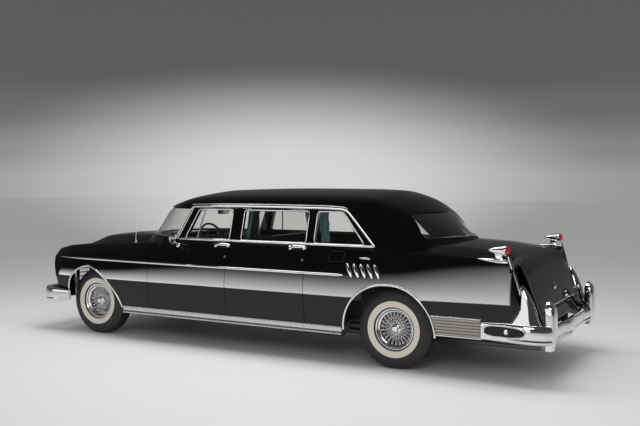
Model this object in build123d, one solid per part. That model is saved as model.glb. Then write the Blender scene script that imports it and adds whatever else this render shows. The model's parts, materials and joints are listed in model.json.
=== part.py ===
from build123d import *
import math
import os

# A long limousine of the middle 1950s with a wrapped windshield, fins with free-standing
# tail lamps and wire wheels. Millimetres. X points to the front, Y to the left and Z up.
# The origin lies on the floor under the middle of the car.

# Overall sizes
overall_length = 6160.0
half_width = 1003.5
belt_height = 1145.0
roof_height = 1700.0
wheelbase = 3797.0
front_overhang = 861.5
overrun = 60.0

# Walls and gaps
skin_wall = 14.0
quarter_wall = 30.0
door_wall = 70.0
frame_wall = 38.0
panel_gap = 5.0
seat_gap = 0.3
glass_inset = 14.0
glass_thickness = 6.0
plate = 12.0
edge_taper = 8.0

# Places along the body, measured from the origin
half_length = overall_length / 2
front_axle_x = half_length - front_overhang
rear_axle_x = front_axle_x - wheelbase
door_front_x = 1345.0
door_split_x = 304.0
door_rear_x = -648.0
windshield_base_x = 1060.0
windshield_top_x = 902.0
windshield_rise = 48.0
windshield_crown = 36.0
hood_rear_x = 1905.0
firewall_x = 1640.0
deck_front_x = -2225.0
shelf_front_x = -1640.0

# Heights
sill_top = 383.0
body_bottom = 300.0
window_bottom = 1165.0
window_top = 1472.0
frame_top = 1492.0
pillar_foot = 1151.0
door_shoulder = 950.0
deck_lip = 612.0
hood_lip = 930.0
floor_top = 402.0
trunk_floor = 600.0
valance_low = 510.0

# Widths
gutter_y = 660.0
deck_split_y = 778.0
deck_lid_y = 700.0
door_inner_y = 800.0

# Wheels and tyres
tyre_radius = 379.0
tyre_width = 210.0
bead_radius = 190.0
whitewall_radius = 276.0
front_track = 1540.0
rear_track = 1575.0
kingpin_y = 665.0
spindle_radius = 25.0
tread_share = 0.68
rim_share = 0.72
rim_wall = 24.0
hub_radius = 62.0
cap_radius = 44.0
cap_depth = 26.0
spoke_count = 24
spoke_width = 7.0
spoke_swing = math.radians(16.0)

# Body sections as shares: x of half the length, then widths of half the width and heights of the belt.
# Columns: x, side width, side height, sill width, crest width, crest height, gutter width,
# gutter height, ridge width, ridge height, middle height
body_section_shares = (
    (-0.952, 0.955, 0.60, 0.900, 0.920, 0.950, 0.780, 0.880, 0.580, 0.930, 0.950),
    (-0.870, 0.978, 0.60, 0.930, 0.942, 0.962, 0.790, 0.915, 0.600, 0.962, 0.985),
    (-0.740, 0.988, 0.595, 0.940, 0.935, 0.974, 0.790, 0.950, 0.600, 1.010, 1.036),
    (-0.636, 0.993, 0.59, 0.945, 0.922, 0.984, 0.780, 0.965, 0.600, 1.022, 1.052),
    (-0.530, 0.996, 0.58, 0.948, 0.902, 0.992, 0.770, 0.965, 0.600, 1.020, 1.045),
    (-0.325, 1.000, 0.57, 0.950, 0.884, 1.000, 0.760, 0.965, 0.600, 1.015, 1.040),
    (0.120, 1.000, 0.57, 0.950, 0.878, 1.000, 0.720, 0.965, 0.560, 1.010, 1.030),
    (0.437, 1.000, 0.57, 0.950, 0.852, 0.966, 0.660, 0.935, 0.500, 1.005, 1.028),
    (0.607, 0.996, 0.57, 0.940, 0.815, 0.943, 0.658, 0.915, 0.480, 1.000, 1.024),
    (0.779, 0.985, 0.57, 0.920, 0.797, 0.915, 0.658, 0.885, 0.450, 0.975, 0.998),
    (0.880, 0.962, 0.57, 0.890, 0.790, 0.888, 0.658, 0.855, 0.430, 0.888, 0.905),
    (0.942, 0.935, 0.57, 0.865, 0.775, 0.850, 0.650, 0.810, 0.410, 0.838, 0.850),
)
crest_radius = 32.0
side_swell_share = 0.27
scuttle_low_share = 0.85

# Glasshouse sections as shares of half the length, half the width and the roof height.
# Columns: x, base width, eave width, eave height, crown height, corner radius share of the roof height
house_base = 1090.0
house_section_shares = (
    (-0.706, 0.190, 0.120, 0.655, 0.668, 0.015),
    (-0.665, 0.480, 0.300, 0.682, 0.724, 0.060),
    (-0.610, 0.730, 0.460, 0.722, 0.798, 0.120),
    (-0.552, 0.862, 0.618, 0.812, 0.884, 0.160),
    (-0.487, 0.890, 0.700, 0.880, 0.955, 0.150),
    (-0.404, 0.893, 0.735, 0.930, 0.992, 0.120),
    (-0.300, 0.893, 0.750, 0.944, 0.999, 0.100),
    (-0.090, 0.891, 0.750, 0.947, 1.001, 0.095),
    (0.227, 0.891, 0.754, 0.936, 0.989, 0.095),
    (0.325, 0.889, 0.735, 0.918, 0.968, 0.095),
    (0.390, 0.856, 0.670, 0.890, 0.947, 0.095),
    (0.455, 0.788, 0.520, 0.868, 0.915, 0.110),
    (0.510, 0.684, 0.420, 0.797, 0.871, 0.180),
    (0.560, 0.520, 0.330, 0.715, 0.765, 0.150),
    (0.610, 0.200, 0.130, 0.655, 0.666, 0.015),
)

# Side outlines of the fenders and of the middle of the body, as shares of half the length and the belt height
fender_outline_shares = (
    (-0.925, 0.30), (-0.925, 0.48), (-0.906, 0.66), (-0.881, 0.99), (-0.881, 1.30),
    (0.935, 1.30), (0.935, 0.86), (0.942, 0.76), (0.916, 0.62), (0.906, 0.53), (0.906, 0.30),
)
middle_outline_shares = (
    (-0.942, 0.30), (-0.950, 0.53), (-0.887, 0.982), (-0.740, 1.048), (-0.610, 1.300),
    (0.860, 1.300), (0.908, 0.815), (0.902, 0.30),
)
tail_round = 230.0

# Wheel arches: the front one sweeps back into the sill
front_arch_lip = 381.5
front_arch_top = 798.0
front_arch_front_mid = (285.0, 690.0)
front_arch_sweep = 466.0
front_arch_sweep_mid = (235.0, 665.0)
rear_arch_half = 470.0
rear_arch_top = 809.0
rear_arch_shift = 28.5
arch_foot = 350.0

# Cabin fittings
dash_front_x = 1190.0
dash_nose_x = 1160.0
dash_top_x = 1260.0
dash_low = 930.0
dash_nose_z = 1085.0
steering_y = 390.0
steering_radius = 215.0
rim_radius = 11.0
horn_radius = 36.0
hub_depth = 25.0
column_tilt = math.radians(25.0)
column_length = 800.0
column_radius = 24.0
wheel_centre = Vector(880.0, steering_y, 1100.0)
column_axis = Vector(-math.cos(column_tilt), 0, math.sin(column_tilt))
partition_x = 120.0
partition_window_y = 620.0
back_thick = 100.0
# Shares of half the length: rear x, front x and lean of the back; of half the width: half width;
# of the belt height: cushion low, cushion top and back top
seat_shares = {
    "front": (0.0828, 0.2597, 0.0195, 0.6976, 0.4105, 0.6288, 0.9258),
    "rear": (-0.3945, -0.2078, 0.0162, 0.6378, 0.4105, 0.6463, 0.9694),
}

# Ends of the car. Places are shares of half the length, half the width and the belt height.
# Bars: x, y, z, shares of bar_depth and bar_height, heading in degrees.
# Posts: x, y, z, shares of post_size along and across the car
bar_depth = 100.0
bar_height = 180.0
post_size = 100.0
bar_outline_shares = (
    (-0.5, -0.24), (-0.2, -0.5), (0.2, -0.5), (0.5, -0.24),
    (0.5, 0.24), (0.2, 0.5), (-0.2, 0.5), (-0.5, 0.24),
)
front_bar_shares = (
    (0.8312, 0.9686, 0.3843, 0.26, 0.611, 0.0),
    (0.8961, 0.9646, 0.3773, 0.5, 0.833, -2.0),
    (0.9513, 0.9317, 0.3712, 0.7, 0.972, -25.0),
    (0.9805, 0.8470, 0.3712, 0.76, 1.000, -62.0),
    (0.9870, 0.6976, 0.3712, 0.8, 1.000, -88.0),
    (0.9883, 0.0000, 0.3668, 0.72, 0.833, -90.0),
)
front_guard_shares = (
    (0.9740, 0.5182, 0.3057, 0.9, 1.3),
    (0.9773, 0.5182, 0.4541, 1, 1.3),
    (0.9692, 0.5182, 0.5590, 0.6, 0.8),
)
bullet_x = 3015.0
bullet_y = 520.0
bullet_z = 560.0
bullet_radius = 78.0
bullet_tip_radius = 30.0
bullet_length = 62.0
front_horn_x = 3030.0
front_horn_z = (350.0, 425.0)
rear_bar_shares = (
    (-0.8006, 0.9766, 0.4044, 0.22, 0.833, 180.0),
    (-0.8571, 0.9646, 0.4044, 0.62, 0.933, 182.0),
    (-0.9351, 0.9487, 0.4000, 0.96, 1.000, 190.0),
    (-0.9740, 0.8869, 0.3930, 1, 0.978, 235.0),
    (-0.9838, 0.7872, 0.3825, 0.9, 0.933, 268.0),
    (-0.9708, 0.5979, 0.3511, 0.6, 0.833, 280.0),
    (-0.9692, 0.2392, 0.3450, 0.58, 0.806, 270.0),
    (-0.9760, 0.0000, 0.3450, 0.7, 0.889, 270.0),
)
rear_tower_shares = (
    (-0.9532, 0.8899, 0.3930, 1.46, 1.5),
    (-0.9364, 0.8939, 0.5590, 0.96, 1.16),
    (-0.9175, 0.9018, 0.6725, 0.48, 0.74),
    (-0.9058, 0.9088, 0.7686, 0.16, 0.34),
)
rear_guard_shares = (
    (-0.9831, 0.7753, 0.2707, 0.7, 0.62),
    (-0.9844, 0.7753, 0.3930, 0.94, 0.78),
    (-0.9838, 0.7753, 0.5590, 0.84, 0.74),
    (-0.9786, 0.7753, 0.6550, 0.36, 0.48),
)
rear_horn_x = -2990.0
rear_horn_z = (390.0, 440.0)
grille_depth = 32.0
grille_half = 655.0
grille_low = 540.0
grille_top = 925.0
grille_frame = 24.0
grille_rows = 6
grille_columns = 9
grille_bar = 9.0
headlamp_x = 2830.0
headlamp_y = 745.0
headlamp_z = 800.0
headlamp_radius = 96.0
headlamp_depth = 50.0
lamp_x = -2676.0
lamp_y = 957.0
lamp_z = 1177.0
lamp_radius = 46.0
lamp_collar = 40.0
lamp_length = 215.0
lens_radius = 41.0
lens_depth = 26.0
# Columns: shares of the lamp's length, of the lamp's height, and of post_size along and across
lamp_foot_shares = ((0.40, 0.926, 2.7, 0.46), (0.38, 0.958, 0.7, 0.16), (0.36, 0.99, 0.6, 0.18))
lamp_waist_shares = (0.6, 0.55)
lens_face_share = 0.6
pipe_radius = 28.0
silencer_radius = 72.0
# Shares of half the length, half the width and the belt height. Columns: start and end of each run
pipe_run_shares = (
    ((0.617, 0.239, 0.367), (0.552, 0.239, 0.170)),
    ((0.555, 0.239, 0.175), (-0.325, 0.239, 0.175)),
    ((-0.325, 0.239, 0.175), (-0.9416, 0.618, 0.253)),
)
silencer_run_shares = (((-0.032, 0.239, 0.175), (-0.227, 0.239, 0.175)),)
tank_rear_x = -2650.0
tank_front_x = -2150.0
tank_half = 360.0
tank_low = 330.0

# Doors, windows, floor, frame and running gear
front_edge_lean = 145.0
frame_foot_x = 998.0
frame_head_x = 858.0
front_pane_foot_x = 912.0
front_pane_head_x = 775.0
front_pane_frame = 26.0
rear_pane_frame = 126.0
tail_pane_frame = 44.0
quarter_post = 56.0
quarter_knee_x = -985.0
quarter_foot_x = -1262.0
prism_outset = 4.0
shoulder_lean = math.radians(32.0)
frame_lean = math.radians(15.3)
belt_y = 880.0
frame_depth = 80.0
shoulder_depth = 110.0
# Columns: front x, rear x, whether the front edge leans back under the windshield, frame front at belt and top
doors = {
    "front": (door_front_x, door_split_x, front_edge_lean, frame_foot_x, frame_head_x),
    "rear": (door_split_x, door_rear_x, 0.0, door_split_x, door_split_x),
}
front_pane_end = door_split_x + front_pane_frame
rear_pane_start = door_split_x - rear_pane_frame
rear_pane_end = door_rear_x + tail_pane_frame
quarter_pane_start = door_rear_x - quarter_post
# Window outlines: x at the bottom front, top front, top rear and bottom rear
windows = {
    "front": (front_pane_foot_x, front_pane_head_x, front_pane_end, front_pane_end),
    "rear": (rear_pane_start, rear_pane_start, rear_pane_end, rear_pane_end),
    "quarter": (quarter_pane_start, quarter_pane_start, quarter_knee_x, quarter_foot_x),
}
apron_y = 480.0
apron_low = 560.0
apron_front_x = 2740.0
post_y = 800.0
post_depth = 60.0
post_width = 50.0
post_top = 900.0
backlight_low = 1232.0
backlight_top = 1472.0
backlight_low_y = 650.0
backlight_top_y = 590.0
rail_y = 430.0
rail_width = 60.0
rail_low = 250.0
rail_top = floor_top - plate - seat_gap
rail_depth = 116.0
rail_front_x = 2860.0
rail_rear_x = -2900.0
rail_nose_top = 430.0
rail_tail_top = 496.0
kick_start_x = -1322.0
kick_end_x = -1462.0
cross_bar_x = 100.0
spring_reach = 740.0
spring_top = 346.0
kick_top = 560.0
tunnel_half = 160.0
tunnel_top = 540.0
rocker_inner_y = 772.0
rocker_outer_y = 958.0
rocker_low = 290.0
wheelhouse_y = 668.0
bulkhead_x = -1310.0
sill_step_y = 795.0
wheelhouse_low = 460.0
tail_floor_x = -2790.0
well_depth = 4.0
shelf_height = 1120.0
wheelhouse_half = 450.0
wheelhouse_top = 860.0
engine_length = 760.0
engine_half = 300.0
engine_low = 400.0
engine_top = 1010.0
gearbox_half = 120.0
gearbox_top = 500.0
gearbox_low = 290.0
gearbox_rear_x = 1000.0
arm_inner_y = 430.0
arm_width = 90.0
arm_thickness = 26.0
kingpin_low = 250.0
kingpin_top = 508.0
kingpin_radius = 15.0
upright_radius = 26.0
hub_reach = 40.0
axle_tube_radius = 45.0
differential_radius = 140.0
differential_half = 110.0
spring_y = 560.0
spring_half = 32.0
drum_inset = 90.0


from_base = (Align.CENTER, Align.CENTER, Align.MIN)


def mirrored(shape):
    return mirror(shape, about=Plane.XZ)


def both_sides(shape):
    return Compound(children=[*shape.solids(), *mirrored(shape).solids()])


def block(x_range, y_range, z_range):
    size = [high - low for low, high in (x_range, y_range, z_range)]
    middle = [(high + low) / 2 for low, high in (x_range, y_range, z_range)]
    return Pos(*middle) * Box(*size)


def side_prism(points, y_low, y_high, taper=0, round_corner=None, radius=0):
    # A prism across the car from an outline of x and z, narrowing inwards by the taper
    face = make_face(Polyline(*points, close=True))
    if round_corner is not None:
        corner = [v for v in face.vertices() if (Vector(v) - Vector(*round_corner)).length < plate]
        face = fillet(corner, radius)
    inward = Plane(origin=(0, y_high, 0), x_dir=(1, 0, 0), z_dir=(0, -1, 0))
    return extrude(inward * face, amount=y_high - y_low, taper=taper)


def tube_between(start, end, radius):
    axis = Vector(*end) - Vector(*start)
    return Plane(origin=start, z_dir=axis) * Cylinder(radius, axis.length, align=from_base)


def disc_across(radius, y_low, y_high, x, z):
    # A round disc or bar that lies across the car
    return Plane(origin=(x, y_low, z), z_dir=(0, 1, 0)) * Cylinder(radius, y_high - y_low, align=from_base)


# Body surfaces
def body_section(row, inset):
    x, side, side_z, sill, crest, crest_z, gutter, gutter_z, ridge, ridge_z, middle_z = row
    side, sill, crest = (share * half_width - inset for share in (side, sill, crest))
    gutter, ridge = gutter * half_width, ridge * half_width
    swell = side - (side - crest) * side_swell_share
    side_z = side_z * belt_height
    crest_z, gutter_z, ridge_z, middle_z = (
        share * belt_height - inset for share in (crest_z, gutter_z, ridge_z, middle_z))
    bottom = body_bottom - (overrun if inset else 0)
    with BuildSketch(Plane.YZ.offset(x * half_length)) as section:
        with BuildLine():
            Line((-sill, bottom), (sill, bottom))
            for way in (1, -1):
                Polyline((way * sill, bottom), (way * side, side_z))
                if inset:
                    Polyline((way * side, side_z), (way * swell, (side_z + crest_z) / 2),
                             (way * crest, crest_z))
                else:
                    TangentArc((way * side, side_z), (way * crest, crest_z), tangent=(0, 1))
                Polyline((way * crest, crest_z), (way * gutter, gutter_z), (way * ridge, ridge_z))
            if inset:
                Polyline((ridge, ridge_z), (0, middle_z), (-ridge, ridge_z))
            else:
                ThreePointArc((ridge, ridge_z), (0, middle_z), (-ridge, ridge_z))
        make_face()
        if not inset:
            crests = [v for v in section.vertices() if math.isclose(abs(v.X), crest, abs_tol=seat_gap)]
            fillet(crests, crest_radius)
    return section.sketch


def body_loft(inset=0):
    return loft([body_section(row, inset) for row in body_section_shares], ruled=True)


def house_section(row, inset):
    x, base, eave, eave_z, crown_z, corner = row
    base, eave = base * half_width - inset, eave * half_width - inset
    eave_z, crown_z = eave_z * roof_height - inset, crown_z * roof_height - inset
    bottom = house_base - (overrun if inset else 0)
    with BuildSketch(Plane.YZ.offset(x * (half_length - inset))) as section:
        with BuildLine():
            Line((-base, bottom), (base, bottom))
            for way in (1, -1):
                Line((way * base, bottom), (way * eave, eave_z))
            if inset > glass_inset + glass_thickness:
                Polyline((eave, eave_z), (0, crown_z), (-eave, eave_z))
            else:
                ThreePointArc((eave, eave_z), (0, crown_z), (-eave, eave_z))
        make_face()
        eaves = [v for v in section.vertices() if v.Y > bottom + seat_gap and abs(v.X) > seat_gap]
        fillet(eaves, corner * roof_height)
    return section.sketch


def house_loft(inset=0):
    return loft([house_section(row, inset) for row in house_section_shares], ruled=True)


def outline_points(shares, inset=0):
    # The outline drawn in by the wall at its two ends
    points = []
    for x, z in shares:
        x_place = x * half_length
        points.append((x_place - math.copysign(inset, x_place), z * belt_height))
    return points


def arch_cutter(front):
    if front:
        lip = front_axle_x + front_arch_lip
        foot = front_axle_x - front_arch_sweep
        top = (front_axle_x + rear_arch_shift, front_arch_top)
        first = (front_axle_x + front_arch_front_mid[0], front_arch_front_mid[1])
        second = (front_axle_x - front_arch_sweep_mid[0], front_arch_sweep_mid[1])
        start, end = (lip, arch_foot + overrun), (foot, arch_foot)
    else:
        middle = rear_axle_x + rear_arch_shift
        start, end = (middle + rear_arch_half, arch_foot), (middle - rear_arch_half, arch_foot)
        top = (middle, rear_arch_top)
        reach = rear_arch_half * math.sqrt(0.5)
        first = (middle + reach, arch_foot + reach)
        second = (middle - reach, arch_foot + reach)
    with BuildSketch() as outline:
        with BuildLine():
            ThreePointArc(start, first, top)
            ThreePointArc(top, second, end)
            Polyline(end, (end[0], 0), (start[0], 0), start)
        make_face()
    inward = Plane(origin=(0, half_width + overrun, 0), x_dir=(1, 0, 0), z_dir=(0, -1, 0))
    return extrude(inward * outline.sketch, amount=half_width / 2)


body_outer = body_loft()
left_half = block((-half_length, half_length), (0, half_width + overrun), (0, roof_height + overrun))
house_outer = house_loft()
house_inner = house_loft(frame_wall)
thin_void = body_loft(skin_wall)
house_shell = house_outer - house_inner
body_raised = Pos(0, 0, seat_gap) * body_outer


# Doors. The side leans in three steps: nearly upright, the shoulder, and the window frame.
def leaning_prism(points, y_at, z_at, lean, depth, taper, outset=prism_outset):
    # Points are x and z on the leaning face, which lies at y_at where z is z_at
    inward = Plane(origin=(0, y_at, z_at), x_dir=(1, 0, 0), z_dir=(0, -math.cos(lean), -math.sin(lean)))
    local = [(x, (z - z_at) / math.cos(lean)) for x, z in points]
    face = make_face(Polyline(*local, close=True))
    return extrude(inward.offset(-outset) * face, amount=depth + outset, taper=taper)


def window_points(name, inset=0):
    low_front, top_front, top_rear, low_rear = windows[name]
    return [(low_front - inset, window_bottom + inset), (top_front - inset, window_top - inset),
            (top_rear + inset, window_top - inset), (low_rear + inset, window_bottom + inset)]


def window_prism(name, inset=0):
    return leaning_prism(window_points(name, inset), belt_y, belt_height, frame_lean,
                         2 * frame_depth, 0, overrun)


def door_region(name, grow, taper):
    # The space that a door fills, or with a gap the opening that it fits
    front, rear, lean_back, frame_front, frame_front_top = doors[name]
    front, rear = front - panel_gap / 2 + grow, rear + panel_gap / 2 - grow
    low, shoulder, top = sill_top - grow, door_shoulder, belt_height + panel_gap
    lower = leaning_prism([(front, low), (front, shoulder), (rear, shoulder), (rear, low)],
                          half_width, shoulder, 0, half_width - door_inner_y, taper)
    middle = leaning_prism([(front, shoulder - plate), (front - lean_back, top), (rear, top),
                            (rear, shoulder - plate)],
                           half_width, shoulder, shoulder_lean, shoulder_depth, taper)
    if not lean_back:
        frame_front, frame_front_top = front, front
    else:
        frame_front, frame_front_top = frame_front + grow, frame_front_top + grow
    upper = leaning_prism([(frame_front, house_base), (frame_front_top, frame_top + grow),
                           (rear, frame_top + grow), (rear, house_base)],
                          belt_y, belt_height, frame_lean, frame_depth, taper)
    return lower + middle, upper


def make_doors():
    door_slab = (body_outer & left_half) - body_loft(door_wall)
    door_slab = door_slab & block((door_rear_x, door_front_x), (door_inner_y, half_width + overrun),
                                  (sill_top, belt_height + overrun))
    for name in doors:
        lower, upper = door_region(name, 0, edge_taper)
        frame = (house_shell & upper) - window_prism(name)
        door = (door_slab & lower) + frame
        pane = (house_loft(glass_inset) - house_loft(glass_inset + glass_thickness))
        pane = pane & window_prism(name, seat_gap)
        yield name, door, pane


# Body panels
def side_shell(outline, wall, y_low):
    outer = (body_outer & left_half) & side_prism(outline_points(outline), y_low, half_width + overrun)
    inner = body_loft(wall) & side_prism(outline_points(outline, wall), 0, half_width + overrun)
    return outer - inner


def make_front_fender():
    fender = side_shell(fender_outline_shares, skin_wall, gutter_y)
    slant = doors["front"][2]
    front, rear = half_length, door_front_x + panel_gap / 2
    region = side_prism([(front, sill_top), (front, roof_height), (rear - slant, roof_height),
                         (rear - slant, belt_height + panel_gap), (rear, door_shoulder - plate),
                         (rear, sill_top)], 0, half_width + overrun)
    lamp = Plane(origin=(apron_front_x, headlamp_y, headlamp_z), z_dir=(1, 0, 0)) * Cylinder(
        headlamp_radius, half_length - apron_front_x, align=from_base)
    return (fender & region) - arch_cutter(True) - lamp


def make_quarter():
    quarter = side_shell(fender_outline_shares, quarter_wall, deck_split_y)
    rear, front = -half_length, door_rear_x - panel_gap / 2
    region = side_prism([(rear, sill_top), (rear, roof_height), (front, roof_height), (front, sill_top)],
                        0, half_width + overrun)
    lower = door_region("rear", panel_gap, -edge_taper)[0]
    wing_x, wing_z = rear_bar_shares[0][0] * half_length, rear_bar_shares[2][2] * belt_height
    wing_top = wing_z + rear_bar_shares[2][4] * bar_height / 2
    over_wing = block((-half_length, wing_x + panel_gap), (0, half_width + overrun), (0, wing_top + panel_gap))
    return (quarter & region) - lower - arch_cutter(False) - over_wing


def middle_shell():
    corner = (middle_outline_shares[2][0] * half_length, middle_outline_shares[2][1] * belt_height)
    inner_corner = (corner[0] + skin_wall, corner[1])
    outer = body_outer & side_prism(outline_points(middle_outline_shares), -deck_split_y, deck_split_y,
                                    0, corner, tail_round)
    inner = thin_void & side_prism(outline_points(middle_outline_shares, skin_wall), -half_width, half_width,
                                   0, inner_corner, tail_round - skin_wall)
    return outer - inner


def make_hood(shell):
    reach = gutter_y - panel_gap
    region = block((hood_rear_x, half_length), (-reach, reach), (hood_lip, roof_height))
    return shell & region


def make_deck_lid(shell):
    region = block((-half_length, deck_front_x), (-deck_lid_y, deck_lid_y), (deck_lip, roof_height))
    return shell & region


def make_tail_panel(shell):
    tail = shell & block((-half_length, shelf_front_x), (-deck_split_y, deck_split_y),
                         (valance_low, roof_height))
    reach = deck_lid_y + panel_gap
    tail = tail - block((-half_length, deck_front_x + panel_gap), (-reach, reach),
                        (deck_lip - panel_gap, roof_height))
    # The latch stands on the lower edge and touches the inside of the shut lid
    (low_x, low_z), (high_x, high_z) = outline_points(middle_outline_shares[1:3])
    lean = (high_x - low_x) / (high_z - low_z)
    heights = (deck_lip - overrun, deck_lip - panel_gap, deck_lip + overrun)
    feet = [(low_x + lean * (z - low_z), z) for z in heights]
    depths = (skin_wall / 2, skin_wall / 2, skin_wall + seat_gap)
    latch = [(x + depth, z) for (x, z), depth in zip(feet, depths)]
    latch.insert(2, (feet[1][0] + skin_wall + seat_gap, feet[1][1]))
    latch += [(feet[2][0] + overrun, feet[2][1]), (feet[0][0] + overrun, feet[0][1])]
    return tail + side_prism(latch, -overrun, overrun)


def make_cowl(shell):
    scuttle = shell & block((door_front_x, hood_rear_x - panel_gap), (-gutter_y, gutter_y),
                            (belt_height * scuttle_low_share, roof_height))
    under_hood = Pos(0, 0, -seat_gap) * thin_void
    wall_x = (firewall_x, firewall_x + plate)
    firewall = block(wall_x, (-apron_y, apron_y), (floor_top, roof_height)) & thin_void
    wide = block(wall_x, (-gutter_y, gutter_y), (apron_low, roof_height)) & thin_void
    tunnel = block((firewall_x - plate, firewall_x + 2 * plate), (-tunnel_half + plate, tunnel_half - plate),
                   (0, tunnel_top - plate))
    cowl = scuttle + (firewall + wide - tunnel)
    for way in (1, -1):
        inner, outer = sorted((way * (apron_y - plate), way * apron_y))
        apron = block((firewall_x, apron_front_x), (inner, outer), (apron_low, roof_height)) & under_hood
        post_in, post_out = sorted((way * post_y, way * (post_y + post_depth)))
        post = block((door_front_x + plate, door_front_x + plate + post_width), (post_in, post_out),
                     (floor_top, belt_height)) & thin_void
        web_in, web_out = sorted((way * (apron_y - plate), way * (post_y + post_depth)))
        web = block(wall_x, (web_in, web_out), (floor_top, post_top)) & thin_void
        side = block((door_front_x + plate, firewall_x + plate), sorted((way * post_y, way * (post_y + plate))),
                     (floor_top, post_top))
        cowl = cowl + apron + post + web + side
    return cowl


def make_roof():
    roof = house_shell - body_raised
    windshield = side_prism([(windshield_base_x, window_bottom), (windshield_top_x, window_top + plate / 4),
                             (half_length, window_top + windshield_crown), (half_length, window_bottom + windshield_rise)],
                            -half_width, half_width)
    backlight = backlight_prism(0)
    roof = roof - windshield - backlight
    for cut in (window_prism("quarter"), door_region("front", panel_gap, -edge_taper)[1],
                door_region("rear", panel_gap, -edge_taper)[1]):
        roof = roof - cut - mirrored(cut)
    for way in (1, -1):
        y_range = sorted((way * (door_inner_y - panel_gap), way * (half_width + overrun)))
        roof = roof - block((door_rear_x, door_front_x), y_range, (0, pillar_foot))
        y_range = sorted((way * (post_y - post_depth), way * (post_y - panel_gap)))
        post = block((door_split_x - post_width / 2, door_split_x + post_width / 2), y_range,
                     (floor_top, belt_height + plate))
        front, rear = door_split_x + post_width / 2, door_split_x - post_width / 2
        lean = None
        for low, top, outset in ((pillar_foot, frame_top + 2 * plate, frame_wall + 3 * panel_gap),
                                 (frame_top + 2 * panel_gap, frame_top + overrun, plate)):
            stretch = leaning_prism([(rear, low), (front, low), (front, top), (rear, top)], belt_y,
                                    belt_height, frame_lean, belt_y - post_y + post_depth / 2, 0, -outset)
            lean = stretch if lean is None else lean + stretch
        roof = roof + post + (lean if way > 0 else mirrored(lean))
    return roof


def backlight_prism(inset):
    low, top = backlight_low + inset, backlight_top - inset
    low_y, top_y = backlight_low_y - inset, backlight_top_y - inset
    face = make_face(Polyline((-low_y, low), (low_y, low), (top_y, top), (-top_y, top), close=True))
    face = fillet(face.vertices(), overrun)
    return extrude(Plane.YZ.offset(-half_length) * face, amount=half_length + shelf_front_x + 2 * overrun)


def make_fixed_glass():
    pane = house_loft(glass_inset) - house_loft(glass_inset + glass_thickness)
    edge = seat_gap
    windshield = pane & side_prism([(windshield_base_x + edge, window_bottom + edge),
                                    (windshield_top_x + edge, window_top + plate / 4 - edge),
                                    (half_length, window_top + windshield_crown - edge),
                                    (half_length, window_bottom + windshield_rise + edge)], -half_width, half_width)
    windshield = windshield - body_raised
    quarter = pane & window_prism("quarter", edge)
    back = pane & backlight_prism(edge)
    return Compound(children=[*windshield.solids(), *back.solids(), *quarter.solids(),
                              *mirrored(quarter).solids()])


# Floor, frame and running gear
def make_frame():
    top_line = [(rail_front_x, rail_nose_top), (front_axle_x + tyre_radius, rail_nose_top + rail_width / 2),
                (front_axle_x - tyre_radius / 2, rail_nose_top + rail_width / 2), (firewall_x, rail_top),
                (kick_start_x, rail_top), (kick_end_x, kick_top), (rear_axle_x - tyre_radius / 2, kick_top),
                (rear_axle_x - 2 * tyre_radius, rail_tail_top), (rail_rear_x, rail_tail_top)]
    low_line = [(x, z - rail_depth) for x, z in reversed(top_line)]
    rail = side_prism(top_line + low_line, rail_y - rail_width, rail_y)
    for x, hanger_low, hanger_top in (
            (rear_axle_x + spring_reach, spring_top + seat_gap, rail_top),
            (rear_axle_x - spring_reach, spring_top + seat_gap, rail_tail_top - rail_depth / 2)):
        rail = rail + block((x - spring_half, x + spring_half), (rail_y - plate, spring_y + spring_half),
                            (hanger_low, hanger_top))
    frame = rail + mirrored(rail)
    bars = (
        (rail_front_x - 2 * rail_width, rail_nose_top - rail_width),
        (firewall_x - rail_width, rail_low), (cross_bar_x, rail_low),
        (kick_start_x + 2 * rail_width, rail_low),
        (rail_rear_x + rail_width, rail_tail_top - rail_depth))
    for x, z in bars:
        frame = frame + block((x, x + rail_width), (-rail_y + plate, rail_y - plate), (z, z + rail_width / 2))
    return frame


def make_floor():
    floor_low = floor_top - plate
    panel = block((bulkhead_x, firewall_x), (-sill_step_y, sill_step_y), (floor_low, floor_top))
    tunnel = block((bulkhead_x, firewall_x), (-tunnel_half, tunnel_half), (floor_low, tunnel_top))
    trunk = block((tail_floor_x, bulkhead_x + plate), (-wheelhouse_y, wheelhouse_y),
                  (trunk_floor, trunk_floor + plate))
    bulkhead = block((bulkhead_x, bulkhead_x + plate), (-wheelhouse_y, wheelhouse_y), (floor_low, shelf_height))
    hollow = block((bulkhead_x - plate, firewall_x + plate), (-tunnel_half + plate, tunnel_half - plate),
                   (0, tunnel_top - plate))
    floor = panel + tunnel + trunk + bulkhead - hollow
    sill_low, sill_high = rocker_low, sill_top - panel_gap
    rocker = block((rear_axle_x, front_axle_x), (rocker_inner_y, rocker_outer_y), (sill_low, sill_high))
    step = block((rear_axle_x, firewall_x), (rocker_inner_y, sill_step_y), (sill_high - plate, floor_top))
    wheel_space = block((rear_axle_x - overrun, rear_axle_x + rear_arch_half + overrun),
                        (wheelhouse_y, half_width), (0, roof_height))
    rocker = rocker + step - arch_cutter(True)
    wall = block((rear_axle_x - wheelhouse_half, rear_axle_x + wheelhouse_half),
                 (wheelhouse_y - plate, wheelhouse_y), (wheelhouse_low, wheelhouse_top))
    floor = floor + rocker + mirrored(rocker) + wall + mirrored(wall)
    # The rear footwells lie a little lower, from the seat's plinth to the partition
    well_rear = seat_shares["rear"][1] * half_length
    well = block((well_rear, partition_x - plate), (tunnel_half + plate, rocker_inner_y - plate),
                 (floor_top - well_depth, floor_top + plate))
    return floor - wheel_space - mirrored(wheel_space) - well - mirrored(well)


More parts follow.
